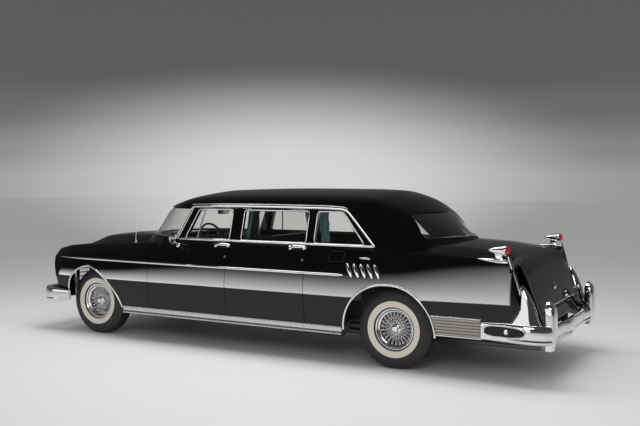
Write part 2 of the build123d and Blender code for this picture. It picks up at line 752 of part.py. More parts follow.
def make_engine():
    front = firewall_x + 2 * overrun + engine_length
    engine = block((firewall_x + overrun, front), (-engine_half, engine_half), (engine_low, engine_top))
    gearbox = block((gearbox_rear_x, firewall_x + 2 * overrun), (-gearbox_half, gearbox_half),
                    (gearbox_low, gearbox_top))
    return engine + gearbox


def make_front_suspension():
    parts = None
    for z in (kingpin_low, kingpin_top - arm_thickness):
        arm = block((front_axle_x - arm_width / 2, front_axle_x + arm_width / 2), (arm_inner_y, kingpin_y),
                    (z, z + arm_thickness))
        eye = Pos(front_axle_x, kingpin_y, z + arm_thickness / 2) * Cylinder(arm_width / 2, arm_thickness)
        hole = Pos(front_axle_x, kingpin_y, z) * Cylinder(kingpin_radius + seat_gap, overrun * 2)
        arm = arm + eye - hole
        parts = arm if parts is None else parts + arm
    link = block((front_axle_x - arm_width / 2, front_axle_x + arm_width / 2),
                 (arm_inner_y, arm_inner_y + 2 * arm_thickness), (kingpin_low, kingpin_top))
    left = parts + link
    crossmember = block((front_axle_x - arm_width / 2, front_axle_x + arm_width / 2),
                        (-arm_inner_y, arm_inner_y), (kingpin_low - arm_thickness, kingpin_low + arm_thickness))
    return left + mirrored(left) + crossmember


def make_knuckle():
    body_low = kingpin_low + arm_thickness + seat_gap
    body_top = kingpin_top - arm_thickness - seat_gap
    pin = Pos(front_axle_x, kingpin_y, (kingpin_low + kingpin_top) / 2) * Cylinder(
        kingpin_radius, kingpin_top - kingpin_low)
    upright = Pos(front_axle_x, kingpin_y, body_low) * Cylinder(
        upright_radius, body_top - body_low, align=from_base)
    spindle = disc_across(spindle_radius, kingpin_y, front_track / 2 + hub_reach, front_axle_x, tyre_radius)
    return pin + upright + spindle


def make_rear_axle():
    inner_end = rear_track / 2 - drum_inset
    tube = disc_across(axle_tube_radius, -inner_end, inner_end, rear_axle_x, tyre_radius)
    spindle_end = rear_track / 2 + hub_reach
    spindle = disc_across(spindle_radius, -spindle_end, spindle_end, rear_axle_x, tyre_radius)
    case = disc_across(differential_radius, -differential_half, differential_half, rear_axle_x, tyre_radius)
    case = chamfer(case.edges(), differential_half / 2)
    shaft = tube_between((rear_axle_x, 0, tyre_radius), (gearbox_rear_x, 0, tyre_radius),
                         axle_tube_radius - plate)
    axle = tube + spindle + case + shaft
    for way in (1, -1):
        y_range = (way * spring_y - spring_half, way * spring_y + spring_half)
        reach = spring_reach + spring_half
        spring = block((rear_axle_x - reach, rear_axle_x + reach), y_range,
                       (spring_top - 3 * plate, spring_top))
        axle = axle + spring
    return axle


# Wheels
def wheel_at(shape, x, y):
    return Pos(x, y, tyre_radius) * shape


def make_tyre():
    half, crown_half, bead_half = tyre_width / 2, tyre_width * tread_share / 2, tyre_width * rim_share / 2
    points = [(bead_radius, -bead_half), (bead_radius, bead_half), (whitewall_radius, half),
              (tyre_radius, crown_half), (tyre_radius, -crown_half), (whitewall_radius, -half)]
    return revolve(make_face(Polyline(*points, close=True)), axis=Axis.Y)


def make_wheel():
    # A rim, a hub with its cap, and wire spokes that lean in and out by turns
    half, rim_outer = tyre_width * rim_share / 2, bead_radius - seat_gap
    rim = revolve(make_face(Polyline(
        (rim_outer, -half), (rim_outer, half), (rim_outer - rim_wall, half), (rim_outer - rim_wall, -half),
        close=True)), axis=Axis.Y)
    bore, end = spindle_radius + seat_gap, hub_reach + plate
    hub = revolve(make_face(Polyline(
        (bore, -hub_reach), (hub_radius, -hub_reach), (hub_radius, end), (cap_radius, end + cap_depth),
        (0, end + cap_depth), (0, end), (bore, end), close=True)), axis=Axis.Y)
    wheel = rim + hub
    for i in range(spoke_count):
        angle = 2 * math.pi * i / spoke_count
        swing = angle + (spoke_swing if i % 4 < 2 else -spoke_swing)
        root_y, tip_y = (end - spoke_width, -half / 2) if i % 2 else (-hub_reach / 2, half / 2)
        root, tip = hub_radius - spoke_width, rim_outer - rim_wall / 2
        start = Vector(root * math.cos(angle), root_y, root * math.sin(angle))
        finish = Vector(tip * math.cos(swing), tip_y, tip * math.sin(swing))
        bar = extrude(Plane(origin=start, z_dir=finish - start) * Rectangle(spoke_width, spoke_width),
                      amount=(finish - start).length)
        wheel = wheel + bar
    return wheel


# Cabin
def make_instrument_panel():
    top = belt_height - plate
    panel = side_prism([(dash_front_x, dash_low), (dash_nose_x, dash_nose_z), (dash_top_x, top),
                        (door_front_x - plate, top), (door_front_x - plate, dash_low)],
                       -door_inner_y + 2 * panel_gap, door_inner_y - 2 * panel_gap)
    panel = panel & body_loft(skin_wall + seat_gap)
    column = tube_between(tuple(wheel_centre - column_axis * hub_depth),
                          tuple(wheel_centre - column_axis * column_length), column_radius)
    return panel + column


def make_steering_wheel():
    plane = Plane(origin=tuple(wheel_centre), x_dir=(0, 1, 0), z_dir=tuple(column_axis))
    ring_face = Pos(steering_radius, 0) * RegularPolygon(rim_radius, 4)
    ring = revolve(Plane.XZ * ring_face, axis=Axis.Z)
    hub = Pos(0, 0, -hub_depth / 2 + seat_gap) * Cylinder(horn_radius, hub_depth - seat_gap)
    bar = Box(2 * steering_radius, 2 * rim_radius, rim_radius)
    return plane * (ring + hub + bar)


def over_tunnel(shape):
    # What stands on the floor leaves room for the tunnel
    hollow = block((bulkhead_x, firewall_x), (-tunnel_half - seat_gap, tunnel_half + seat_gap),
                   (0, tunnel_top + seat_gap))
    return shape - hollow


def make_seat(name):
    # A cushion with a soft front edge and a leaning back, on a low plinth
    rear, front, lean = (share * half_length for share in seat_shares[name][:3])
    half = seat_shares[name][3] * half_width
    cushion_low, cushion_top, back_top = (share * belt_height for share in seat_shares[name][4:])
    cushion = side_prism([(rear, cushion_low), (front - overrun, cushion_low), (front, cushion_low + overrun),
                          (front, cushion_top - overrun), (front - overrun, cushion_top),
                          (rear, cushion_top - overrun / 2)], -half, half)
    back = side_prism([(rear - lean / 2, cushion_low), (rear + back_thick, cushion_low),
                       (rear + back_thick - lean, back_top - overrun / 2),
                       (rear + back_thick / 2 - lean, back_top), (rear - lean, back_top - overrun / 2)],
                      -half, half)
    plinth = block((rear + plate, front - overrun), (-half + overrun, half - overrun), (floor_top, cushion_low))
    return over_tunnel(cushion + back + plinth)


def make_partition():
    x_range = (partition_x, partition_x + 2 * plate)
    half = door_inner_y - 2 * panel_gap - panel_gap
    low = over_tunnel(block(x_range, (-half, half), (floor_top, belt_height)))
    high = block(x_range, (-half, half), (belt_height - overrun, roof_height))
    high = high & house_loft(frame_wall + seat_gap)
    pane = block((partition_x - plate, partition_x + 3 * plate), (-partition_window_y, partition_window_y),
                 (window_bottom, window_top))
    return low + high - pane


# Ends
def bar_loft(rows):
    # A bright bar through chamfered sections that stand across its heading
    sections = []
    for x, y, z, depth, height, heading in rows:
        turn = math.radians(heading)
        plane = Plane(origin=(x * half_length, y * half_width, z * belt_height),
                      x_dir=(math.sin(turn), -math.cos(turn), 0), z_dir=(math.cos(turn), math.sin(turn), 0))
        points = [(u * depth * bar_depth, v * height * bar_height) for u, v in bar_outline_shares]
        sections.append(plane * make_face(Polyline(*points, close=True)))
    return loft(sections, ruled=True)


def post_loft(rows):
    # An upright through level chamfered sections
    sections = []
    for x, y, z, along, across in rows:
        points = [(u * along * post_size, v * across * post_size) for u, v in bar_outline_shares]
        place = Pos(x * half_length, y * half_width, z * belt_height)
        sections.append(place * make_face(Polyline(*points, close=True)))
    return loft(sections, ruled=True)


def make_front_bumper():
    bar = bar_loft(front_bar_shares)
    guard = post_loft(front_guard_shares)
    bullet = Plane(origin=(bullet_x, bullet_y, bullet_z), z_dir=(1, 0, 0)) * Cone(
        bullet_radius, bullet_tip_radius, bullet_length, align=from_base)
    horn = block((rail_front_x, front_horn_x), (rail_y - rail_width + plate, rail_y - plate), front_horn_z)
    half = bar + guard + bullet + horn
    return half + mirrored(half)


def make_rear_bumper():
    bar = bar_loft(rear_bar_shares)
    tower = post_loft(rear_tower_shares)
    guard = post_loft(rear_guard_shares)
    horn = block((rear_horn_x, rail_rear_x), (rail_y - rail_width + plate, rail_y - plate), rear_horn_z)
    half = bar + tower + guard + horn
    return half + mirrored(half)


def make_grille():
    back = apron_front_x + seat_gap
    front = back + grille_depth
    inner_y = grille_half - grille_frame
    inner_low, inner_top = grille_low + grille_frame, grille_top - grille_frame
    grille = block((back, front), (-grille_half, grille_half), (grille_low, grille_top)) - block(
        (back - plate, front + plate), (-inner_y, inner_y), (inner_low, inner_top))
    for i in range(grille_rows):
        z = inner_low + (i + 1) * (inner_top - inner_low) / (grille_rows + 1)
        grille = grille + block((back + plate / 2, front), (-inner_y - grille_bar, inner_y + grille_bar),
                                (z - grille_bar / 2, z + grille_bar / 2))
    for i in range(grille_columns):
        y = -inner_y + (i + 1) * 2 * inner_y / (grille_columns + 1)
        grille = grille + block((back + plate, front - plate / 2), (y - grille_bar / 2, y + grille_bar / 2),
                                (inner_low - grille_bar, inner_top + grille_bar))
    return grille


def make_headlamps():
    lamp = Plane(origin=(headlamp_x, headlamp_y, headlamp_z), z_dir=(1, 0, 0)) * Cylinder(
        headlamp_radius - seat_gap, headlamp_depth, align=from_base)
    return both_sides(lamp)


def make_tail_lamps():
    # A bullet that points forward on a slim foot, over a long base plate on the fin
    along, out = lamp_waist_shares
    profile = make_face(Polyline((0, 0), (0, lamp_radius), (lamp_collar, lamp_radius),
                                 (lamp_length * along, lamp_radius * out), (lamp_length, 0), close=True))
    bullet = Pos(lamp_x, lamp_y, lamp_z) * revolve(Plane.XZ * profile, axis=Axis.X)
    foot = post_loft([((lamp_x + lamp_length * at) / half_length, lamp_y / half_width, lamp_z * z / belt_height,
                       long, wide) for at, z, long, wide in lamp_foot_shares])
    foot = foot - body_raised
    return both_sides(bullet + foot.solids().sort_by(Axis.Z)[-1])


def make_tail_lenses():
    lens = Pos(lamp_x - seat_gap, lamp_y, lamp_z) * Rot(0, -90, 0) * Cone(
        lens_radius, lens_radius * lens_face_share, lens_depth, align=from_base)
    return both_sides(lens)


def make_exhaust():
    line = None
    for shares, radius in ((pipe_run_shares, pipe_radius), (silencer_run_shares, silencer_radius)):
        for run in shares:
            start, end = [(x * half_length, y * half_width, z * belt_height) for x, y, z in run]
            tube = tube_between(start, end, radius)
            line = tube if line is None else line + tube
    return both_sides(line - make_engine())


def make_tank():
    return block((tank_rear_x, tank_front_x), (-tank_half, tank_half), (tank_low, trunk_floor - seat_gap))


def save(name, shape):
    solids = shape.solids()
    whole = solids[0] if len(solids) == 1 else Compound(children=list(solids))
    whole.label = name
    export_step(whole, f"parts/{name}.step")
    print(name, len(solids), round(whole.volume / 1e6, 2))


def build():
    os.makedirs("parts", exist_ok=True)
    for name, door, pane in make_doors():
        for side, place in (("left", lambda s: s), ("right", mirrored)):
            save(f"door_{name}_{side}", place(door))
            save(f"door_glass_{name}_{side}", place(pane))
    for name, maker in (("front_fender", make_front_fender), ("quarter_panel", make_quarter)):
        panel = maker()
        save(f"{name}_left", panel)
        save(f"{name}_right", mirrored(panel))
    shell = middle_shell()
    save("hood", make_hood(shell))
    save("deck_lid", make_deck_lid(shell))
    save("tail_panel", make_tail_panel(shell))
    save("cowl", make_cowl(shell))
    save("roof_shell", make_roof())
    save("fixed_glass", make_fixed_glass())
    save("chassis_frame", make_frame())
    save("floor_pan", make_floor())
    save("engine_block", make_engine())
    save("front_suspension", make_front_suspension())
    save("rear_axle", make_rear_axle())
    knuckle = make_knuckle()
    save("knuckle_left", knuckle)
    save("knuckle_right", mirrored(knuckle))
    tyre, wheel = make_tyre(), make_wheel()
    for end, x, track in (("front", front_axle_x, front_track), ("rear", rear_axle_x, rear_track)):
        save(f"tyre_{end}_left", wheel_at(tyre, x, track / 2))
        save(f"wheel_{end}_left", wheel_at(wheel, x, track / 2))
        save(f"tyre_{end}_right", wheel_at(mirrored(tyre), x, -track / 2))
        save(f"wheel_{end}_right", wheel_at(mirrored(wheel), x, -track / 2))
    save("instrument_panel", make_instrument_panel())
    save("steering_wheel", make_steering_wheel())
    save("front_seat", make_seat("front"))
    save("rear_seat", make_seat("rear"))
    save("partition", make_partition())
    save("front_bumper", make_front_bumper())
    save("rear_bumper", make_rear_bumper())
    save("grille", make_grille())
    save("headlamps", make_headlamps())
    save("tail_lamps", make_tail_lamps())
    save("tail_lenses", make_tail_lenses())
    save("exhaust_system", make_exhaust())
    save("fuel_tank", make_tank())


build()
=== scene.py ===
import json
import math
from functools import lru_cache

import bmesh
import bpy
from mathutils.bvhtree import BVHTree
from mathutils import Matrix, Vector

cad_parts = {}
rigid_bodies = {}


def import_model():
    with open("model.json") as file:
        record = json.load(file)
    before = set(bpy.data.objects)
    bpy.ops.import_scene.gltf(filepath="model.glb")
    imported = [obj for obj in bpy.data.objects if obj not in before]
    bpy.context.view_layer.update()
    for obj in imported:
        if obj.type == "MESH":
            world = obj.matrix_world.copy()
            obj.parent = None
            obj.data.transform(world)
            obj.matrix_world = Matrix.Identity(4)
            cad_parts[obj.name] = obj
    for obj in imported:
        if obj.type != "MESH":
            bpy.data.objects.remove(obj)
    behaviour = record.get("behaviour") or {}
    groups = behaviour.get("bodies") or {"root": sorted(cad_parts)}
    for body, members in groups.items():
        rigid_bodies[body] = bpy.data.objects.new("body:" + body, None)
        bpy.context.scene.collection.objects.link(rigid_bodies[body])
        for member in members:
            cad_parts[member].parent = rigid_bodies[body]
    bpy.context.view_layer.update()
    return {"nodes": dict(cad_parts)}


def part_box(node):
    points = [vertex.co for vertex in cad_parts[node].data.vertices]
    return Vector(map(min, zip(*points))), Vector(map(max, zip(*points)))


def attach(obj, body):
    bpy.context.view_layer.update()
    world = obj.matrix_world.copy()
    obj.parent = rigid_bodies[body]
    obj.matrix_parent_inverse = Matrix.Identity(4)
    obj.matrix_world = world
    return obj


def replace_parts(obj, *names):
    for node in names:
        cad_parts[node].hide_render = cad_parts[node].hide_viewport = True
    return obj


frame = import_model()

# Metres. X points to the front of the car, Y to its left side, Z up.
car = dict(
    halfLength=3.08, halfWidth=1.0035, beltHeight=1.145, roofHeight=1.70,
    frontAxleX=2.2185, rearAxleX=-1.5785, tyreRadius=0.379,
    frontTrack=1.54, rearTrack=1.575,
    doorFrontX=1.345, doorSplitX=0.304, doorRearX=-0.648,
    gap=0.005, skin=0.008,
)


# Small tools

def smoothColumn(xs, ys):
    # A curve through the stations that never swings past them
    count = len(xs)
    steps = [xs[i + 1] - xs[i] for i in range(count - 1)]
    slopes = [(ys[i + 1] - ys[i]) / steps[i] for i in range(count - 1)]
    turns = [slopes[0]]
    for i in range(1, count - 1):
        if slopes[i - 1] * slopes[i] <= 0:
            turns.append(0.0)
        else:
            before, after = 2 * steps[i] + steps[i - 1], steps[i] + 2 * steps[i - 1]
            turns.append((before + after) / (before / slopes[i - 1] + after / slopes[i]))
    turns.append(slopes[-1])

    def value(x):
        x = min(max(x, xs[0]), xs[-1])
        i = max(j for j in range(count - 1) if xs[j] <= x or j == 0)
        t = (x - xs[i]) / steps[i]
        return (ys[i] * (1 + 2 * t) * (1 - t) ** 2 + turns[i] * steps[i] * t * (1 - t) ** 2
                + ys[i + 1] * t * t * (3 - 2 * t) + turns[i + 1] * steps[i] * t * t * (t - 1))
    return value


def smoothTable(rows):
    columns = list(zip(*rows))
    curves = [smoothColumn(columns[0], column) for column in columns[1:]]
    return lambda x: [curve(x) for curve in curves]


def arcThrough(start, middle, end, count):
    # Points on the circle through three points of a plane
    (ax, ay), (bx, by), (cx, cy) = start, middle, end
    d = 2 * (ax * (by - cy) + bx * (cy - ay) + cx * (ay - by))
    if abs(d) < 1e-9:
        return [(ax + (cx - ax) * i / count, ay + (cy - ay) * i / count) for i in range(count + 1)]
    ux = ((ax * ax + ay * ay) * (by - cy) + (bx * bx + by * by) * (cy - ay)
          + (cx * cx + cy * cy) * (ay - by)) / d
    uy = ((ax * ax + ay * ay) * (cx - bx) + (bx * bx + by * by) * (ax - cx)
          + (cx * cx + cy * cy) * (bx - ax)) / d
    radius = math.hypot(ax - ux, ay - uy)
    first, half, last = (math.atan2(y - uy, x - ux) for x, y in (start, middle, end))
    span = (last - first) % (2 * math.pi)
    if (half - first) % (2 * math.pi) > span:
        span -= 2 * math.pi
    return [(ux + radius * math.cos(first + span * i / count),
             uy + radius * math.sin(first + span * i / count))
            for i in range(count + 1)]


def roundCorner(before, corner, after, reach, count):
    # A corner between two straight runs becomes a soft curve
    b, c, a = Vector(before), Vector(corner), Vector(after)
    start = c + (b - c).normalized() * min(reach, (b - c).length * 0.48)
    end = c + (a - c).normalized() * min(reach, (a - c).length * 0.48)
    points = []
    for i in range(count + 1):
        t = i / count
        points.append(tuple(start * (1 - t) ** 2 + c * 2 * t * (1 - t) + end * t * t))
    return points


def alongLine(start, end, count):
    return [(start[0] + (end[0] - start[0]) * i / count, start[1] + (end[1] - start[1]) * i / count)
            for i in range(count + 1)]


def meshPiece(name, verts, faces, material, body, smooth=True):
    mesh = bpy.data.meshes.new(name)
    mesh.from_pydata([tuple(v) for v in verts], [], faces)
    return meshObject(name, mesh, material, body, smooth)


def meshObject(name, mesh, material, body, smooth=True):
    mesh.validate()
    for polygon in mesh.polygons:
        polygon.use_smooth = smooth
    piece = bpy.data.objects.new(name, mesh)
    bpy.context.scene.collection.objects.link(piece)
    for one in (material if isinstance(material, (list, tuple)) else [material]):
        mesh.materials.append(one)
    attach(piece, body)
    return piece


def bmeshPiece(name, bm, material, body, smooth=True):
    bmesh.ops.recalc_face_normals(bm, faces=bm.faces)
    mesh = bpy.data.meshes.new(name)
    bm.to_mesh(mesh)
    bm.free()
    return meshObject(name, mesh, material, body, smooth)


def addModifier(piece, kind, **values):
    modifier = piece.modifiers.new(kind.title(), kind)
    for key, value in values.items():
        setattr(modifier, key, value)
    return modifier


def sharpByAngle(mesh, angle):
    mesh.set_sharp_from_angle(angle=math.radians(angle))


def gridFaces(rows, columns, closedRows=False, closedColumns=False):
    faces = []
    for r in range(rows if closedRows else rows - 1):
        for c in range(columns if closedColumns else columns - 1):
            r2, c2 = (r + 1) % rows, (c + 1) % columns
            faces.append((r * columns + c, r * columns + c2, r2 * columns + c2, r2 * columns + c))
    return faces


# Body form: the same stations as the solids, joined by smooth curves.
# Columns: x, side width, side height, sill width, crest width, crest height, gutter width,
# gutter height, ridge width, ridge height, middle height
bodyForm = dict(
    floor=0.30, crestReach=0.055, ridgeReach=0.09, creaseReach=0.018,
    stations=(
        (-0.952, 0.955, 0.60, 0.900, 0.920, 0.950, 0.780, 0.880, 0.580, 0.930, 0.950),
        (-0.870, 0.978, 0.60, 0.930, 0.942, 0.962, 0.790, 0.915, 0.600, 0.962, 0.985),
        (-0.740, 0.988, 0.595, 0.940, 0.935, 0.974, 0.790, 0.950, 0.600, 1.010, 1.036),
        (-0.636, 0.993, 0.59, 0.945, 0.922, 0.984, 0.780, 0.965, 0.600, 1.022, 1.052),
        (-0.530, 0.996, 0.58, 0.948, 0.902, 0.992, 0.770, 0.965, 0.600, 1.020, 1.045),
        (-0.325, 1.000, 0.57, 0.950, 0.884, 1.000, 0.760, 0.965, 0.600, 1.015, 1.040),
        (0.120, 1.000, 0.57, 0.950, 0.878, 1.000, 0.720, 0.965, 0.560, 1.010, 1.030),
        (0.437, 1.000, 0.57, 0.950, 0.852, 0.966, 0.660, 0.935, 0.500, 1.005, 1.028),
        (0.607, 0.996, 0.57, 0.940, 0.815, 0.943, 0.658, 0.915, 0.480, 1.000, 1.024),
        (0.779, 0.985, 0.57, 0.920, 0.797, 0.915, 0.658, 0.885, 0.450, 0.975, 0.998),
        (0.880, 0.962, 0.57, 0.890, 0.790, 0.888, 0.658, 0.855, 0.430, 0.888, 0.905),
        (0.942, 0.935, 0.57, 0.865, 0.775, 0.850, 0.650, 0.810, 0.410, 0.838, 0.850),
    ),
)
bodyRow = smoothTable(bodyForm["stations"])


@lru_cache(maxsize=None)
def bodySection(x):
    # The left half of a section, from the middle of the top round to the sill
    side, sideZ, sill, crest, crestZ, gutter, gutterZ, ridge, ridgeZ, middleZ = bodyRow(x / car["halfLength"])
    wide, tall = car["halfWidth"], car["beltHeight"]
    sideP, sillP = (side * wide, sideZ * tall), (sill * wide, bodyForm["floor"])
    crestP, gutterP = (crest * wide, crestZ * tall), (gutter * wide, gutterZ * tall)
    ridgeP, middleP = (ridge * wide, ridgeZ * tall), (0.0, middleZ * tall)
    top = arcThrough((-ridgeP[0], ridgeP[1]), middleP, ridgeP, 24)[12:]
    # the upper side leaves the crease upright and leans in towards the crest
    upper = [(sideP[0] - (sideP[0] - crestP[0]) * t * t, sideP[1] + (crestP[1] - sideP[1]) * t)
             for t in [i / 14 for i in range(15)]][::-1]
    points = list(top[:-2])
    points += roundCorner(top[-3], ridgeP, gutterP, bodyForm["ridgeReach"], 5)
    points += alongLine(points[-1], gutterP, 3)[1:]
    points += alongLine(gutterP, crestP, 4)[1:-1]
    points += roundCorner(gutterP, crestP, upper[3], bodyForm["crestReach"], 7)
    points += upper[3:-1]
    points += roundCorner(upper[-2], sideP, sillP, bodyForm["creaseReach"], 3)
    points += alongLine(points[-1], sillP, 8)[1:]
    return points


houseForm = dict(
    foot=1.09,
    stations=(
        (-0.706, 0.190, 0.120, 0.655, 0.668, 0.015),
        (-0.665, 0.480, 0.300, 0.682, 0.724, 0.060),
        (-0.610, 0.730, 0.460, 0.722, 0.798, 0.120),
        (-0.552, 0.862, 0.618, 0.812, 0.884, 0.160),
        (-0.487, 0.890, 0.700, 0.880, 0.955, 0.150),
        (-0.404, 0.893, 0.735, 0.930, 0.992, 0.120),
        (-0.300, 0.893, 0.750, 0.944, 0.999, 0.100),
        (-0.090, 0.891, 0.750, 0.947, 1.001, 0.095),
        (0.227, 0.891, 0.754, 0.936, 0.989, 0.095),
        (0.325, 0.889, 0.735, 0.918, 0.968, 0.095),
        (0.390, 0.856, 0.670, 0.890, 0.947, 0.095),
        (0.455, 0.788, 0.520, 0.868, 0.915, 0.110),
        (0.510, 0.684, 0.420, 0.797, 0.871, 0.180),
        (0.560, 0.520, 0.330, 0.715, 0.765, 0.150),
        (0.610, 0.200, 0.130, 0.655, 0.666, 0.015),
    ),
)
houseRow = smoothTable(houseForm["stations"])


@lru_cache(maxsize=None)
def houseSection(x, inset=0.0):
    base, eave, eaveZ, crownZ, corner = houseRow(x / car["halfLength"])
    wide, tall = car["halfWidth"], car["roofHeight"]
    baseP = (base * wide - inset, houseForm["foot"])
    eaveP = (eave * wide - inset, eaveZ * tall - inset)
    crownP = (0.0, crownZ * tall - inset)
    top = arcThrough((-eaveP[0], eaveP[1]), crownP, eaveP, 32)[16:]
    radius = corner * tall
    aim = Vector(top[-2]) - Vector(eaveP)
    down = Vector(baseP) - Vector(eaveP)
    reach = radius / max(math.tan(aim.angle(down) / 2), 0.05)
    reach = min(reach, (Vector(eaveP) - Vector(crownP)).length * 0.85, down.length * 0.85)
    kept = [p for p in top if (Vector(p) - Vector(eaveP)).length > reach]
    if not kept:
        kept = [crownP]
    onTop = kept[-1]
    onSide = tuple(Vector(eaveP) + down.normalized() * reach)
    bend = []
    for i in range(13):
        t = i / 12
        bend.append(tuple(Vector(onTop) * (1 - t) ** 2 + Vector(eaveP) * 2 * t * (1 - t)
                          + Vector(onSide) * t * t))
    outline = kept[:-1] + bend + alongLine(onSide, baseP, 24)[1:]
    return evenly(outline, 64)


def evenly(points, count):
    # The same outline with its points at even distances
    marks = [0.0]
    for a, b in zip(points, points[1:]):
        marks.append(marks[-1] + math.hypot(b[0] - a[0], b[1] - a[1]))
    result, j = [], 0
    for i in range(count + 1):
        at = marks[-1] * i / count
        while j < len(points) - 2 and marks[j + 1] < at:
            j += 1
        t = (at - marks[j]) / max(marks[j + 1] - marks[j], 1e-9)
        result.append((points[j][0] + (points[j + 1][0] - points[j][0]) * t,
                       points[j][1] + (points[j + 1][1] - points[j][1]) * t))
    return result


def sideAt(x, z, section=bodySection):
    # How far out the side lies at a height, and its outward slope
    points = section(x)
    for a, b in zip(reversed(points[:-1]), reversed(points[1:])):
        if b[1] <= z <= a[1]:
            t = (z - b[1]) / max(a[1] - b[1], 1e-9)
            normal = Vector((0, a[1] - b[1], b[0] - a[0])).normalized()
            return b[0] + (a[0] - b[0]) * t, normal
    return points[-1][0], Vector((0, 1, 0))


def topAt(x, y):
    points = bodySection(x)
    for a, b in zip(points, points[1:]):
        if a[0] <= y <= b[0]:
            t = (y - a[0]) / max(b[0] - a[0], 1e-9)
            normal = Vector((0, a[1] - b[1], b[0] - a[0])).normalized()
            return a[1] + (b[1] - a[1]) * t, normal
    return points[0][1], Vector((0, 0, 1))


def formMesh(section, xLow, xHigh, step, half):
    # A fine net over a form, on the left side or on both
    count = max(2, round((xHigh - xLow) / step))
    bm = bmesh.new()
    rows = []
    for i in range(count + 1):
        x = xLow + (xHigh - xLow) * i / count
        points = section(x)
        if not half:
            points = [(-y, z) for y, z in reversed(points[1:])] + points
        rows.append([bm.verts.new((x, y, z)) for y, z in points])
    for a, b in zip(rows, rows[1:]):
        for i in range(len(a) - 1):
            bm.faces.new((a[i], a[i + 1], b[i + 1], b[i]))
    return bm


def inside(point, outline):
    x, z = point
    found = False
    for (ax, az), (bx, bz) in zip(outline, outline[1:] + outline[:1]):
        if (az > z) != (bz > z) and x < (bx - ax) * (z - az) / (bz - az) + ax:
            found = not found
    return found


def cutOutline(bm, outline, keep, view=(0, 2), among=None):
    # Cuts a net along an outline in the side view (or another view) and keeps what lies in it or out of it
    u, v = view
    for a, b in zip(outline, outline[1:] + outline[:1]):
        lowU, highU = sorted((a[0], b[0]))
        lowV, highV = sorted((a[1], b[1]))
        near = []
        for face in bm.faces:
            if among and not among(face.calc_center_median()):
                continue
            us = [vert.co[u] for vert in face.verts]
            vs = [vert.co[v] for vert in face.verts]
            acrossU = max(us) >= lowU - 1e-6 and min(us) <= highU + 1e-6
            acrossV = max(vs) >= lowV - 1e-6 and min(vs) <= highV + 1e-6
            if acrossU and acrossV:
                near.append(face)
        if not near:
            continue
        edges = {e for f in near for e in f.edges}
        verts = {w for f in near for w in f.verts}
        normal = Vector((0, 0, 0))
        normal[u], normal[v] = b[1] - a[1], a[0] - b[0]
        if normal.length < 1e-9:
            continue
        place = Vector((0, 0, 0))
        place[u], place[v] = a
        bmesh.ops.bisect_plane(bm, geom=list(verts) + list(edges) + near, dist=1e-6,
                               plane_co=place, plane_no=normal.normalized())
    doomed = []
    for face in bm.faces:
        centre = face.calc_center_median()
        if among and not among(centre):
            continue
        if inside((centre[u], centre[v]), outline) != keep:
            doomed.append(face)
    bmesh.ops.delete(bm, geom=doomed, context="FACES")


def cutPlane(bm, place, normal):
    # Takes away what lies on the far side of a plane
    bmesh.ops.bisect_plane(bm, geom=bm.verts[:] + bm.edges[:] + bm.faces[:], dist=1e-6,
                           plane_co=place, plane_no=normal, clear_outer=True)


def skinPiece(name, bm, material, body, flip=False, thickness=None):
    # A pressed panel: the net gets its thickness inwards and a soft folded edge
    if flip:
        bmesh.ops.scale(bm, vec=(1, -1, 1), verts=bm.verts)
    bmesh.ops.remove_doubles(bm, verts=bm.verts, dist=2e-5)
    bmesh.ops.recalc_face_normals(bm, faces=bm.faces)
    up = sum(((f.calc_center_median() - Vector((0, 0, 0.7))).dot(f.normal) * f.calc_area() for f in bm.faces))
    if up < 0:
        bmesh.ops.reverse_faces(bm, faces=bm.faces)
    mesh = bpy.data.meshes.new(name)
    bm.to_mesh(mesh)
    bm.free()
    piece = meshObject(name, mesh, material, body, True)
    addModifier(piece, "SOLIDIFY", thickness=thickness or car["skin"], offset=-1.0, use_even_offset=False)
    addModifier(piece, "BEVEL", width=0.0016, segments=2, limit_method="ANGLE", angle_limit=math.radians(50))
    return piece


# Finishes

def nodeGroup(name, inputs, outputs):
    group = bpy.data.node_groups.new(name, "ShaderNodeTree")
    for label, kind, value in inputs:
        made = group.interface.new_socket(name=label, in_out="INPUT", socket_type=kind)
        made.default_value = value
    for label, kind in outputs:
        group.interface.new_socket(name=label, in_out="OUTPUT", socket_type=kind)
    return group, group.nodes.new("NodeGroupInput"), group.nodes.new("NodeGroupOutput")


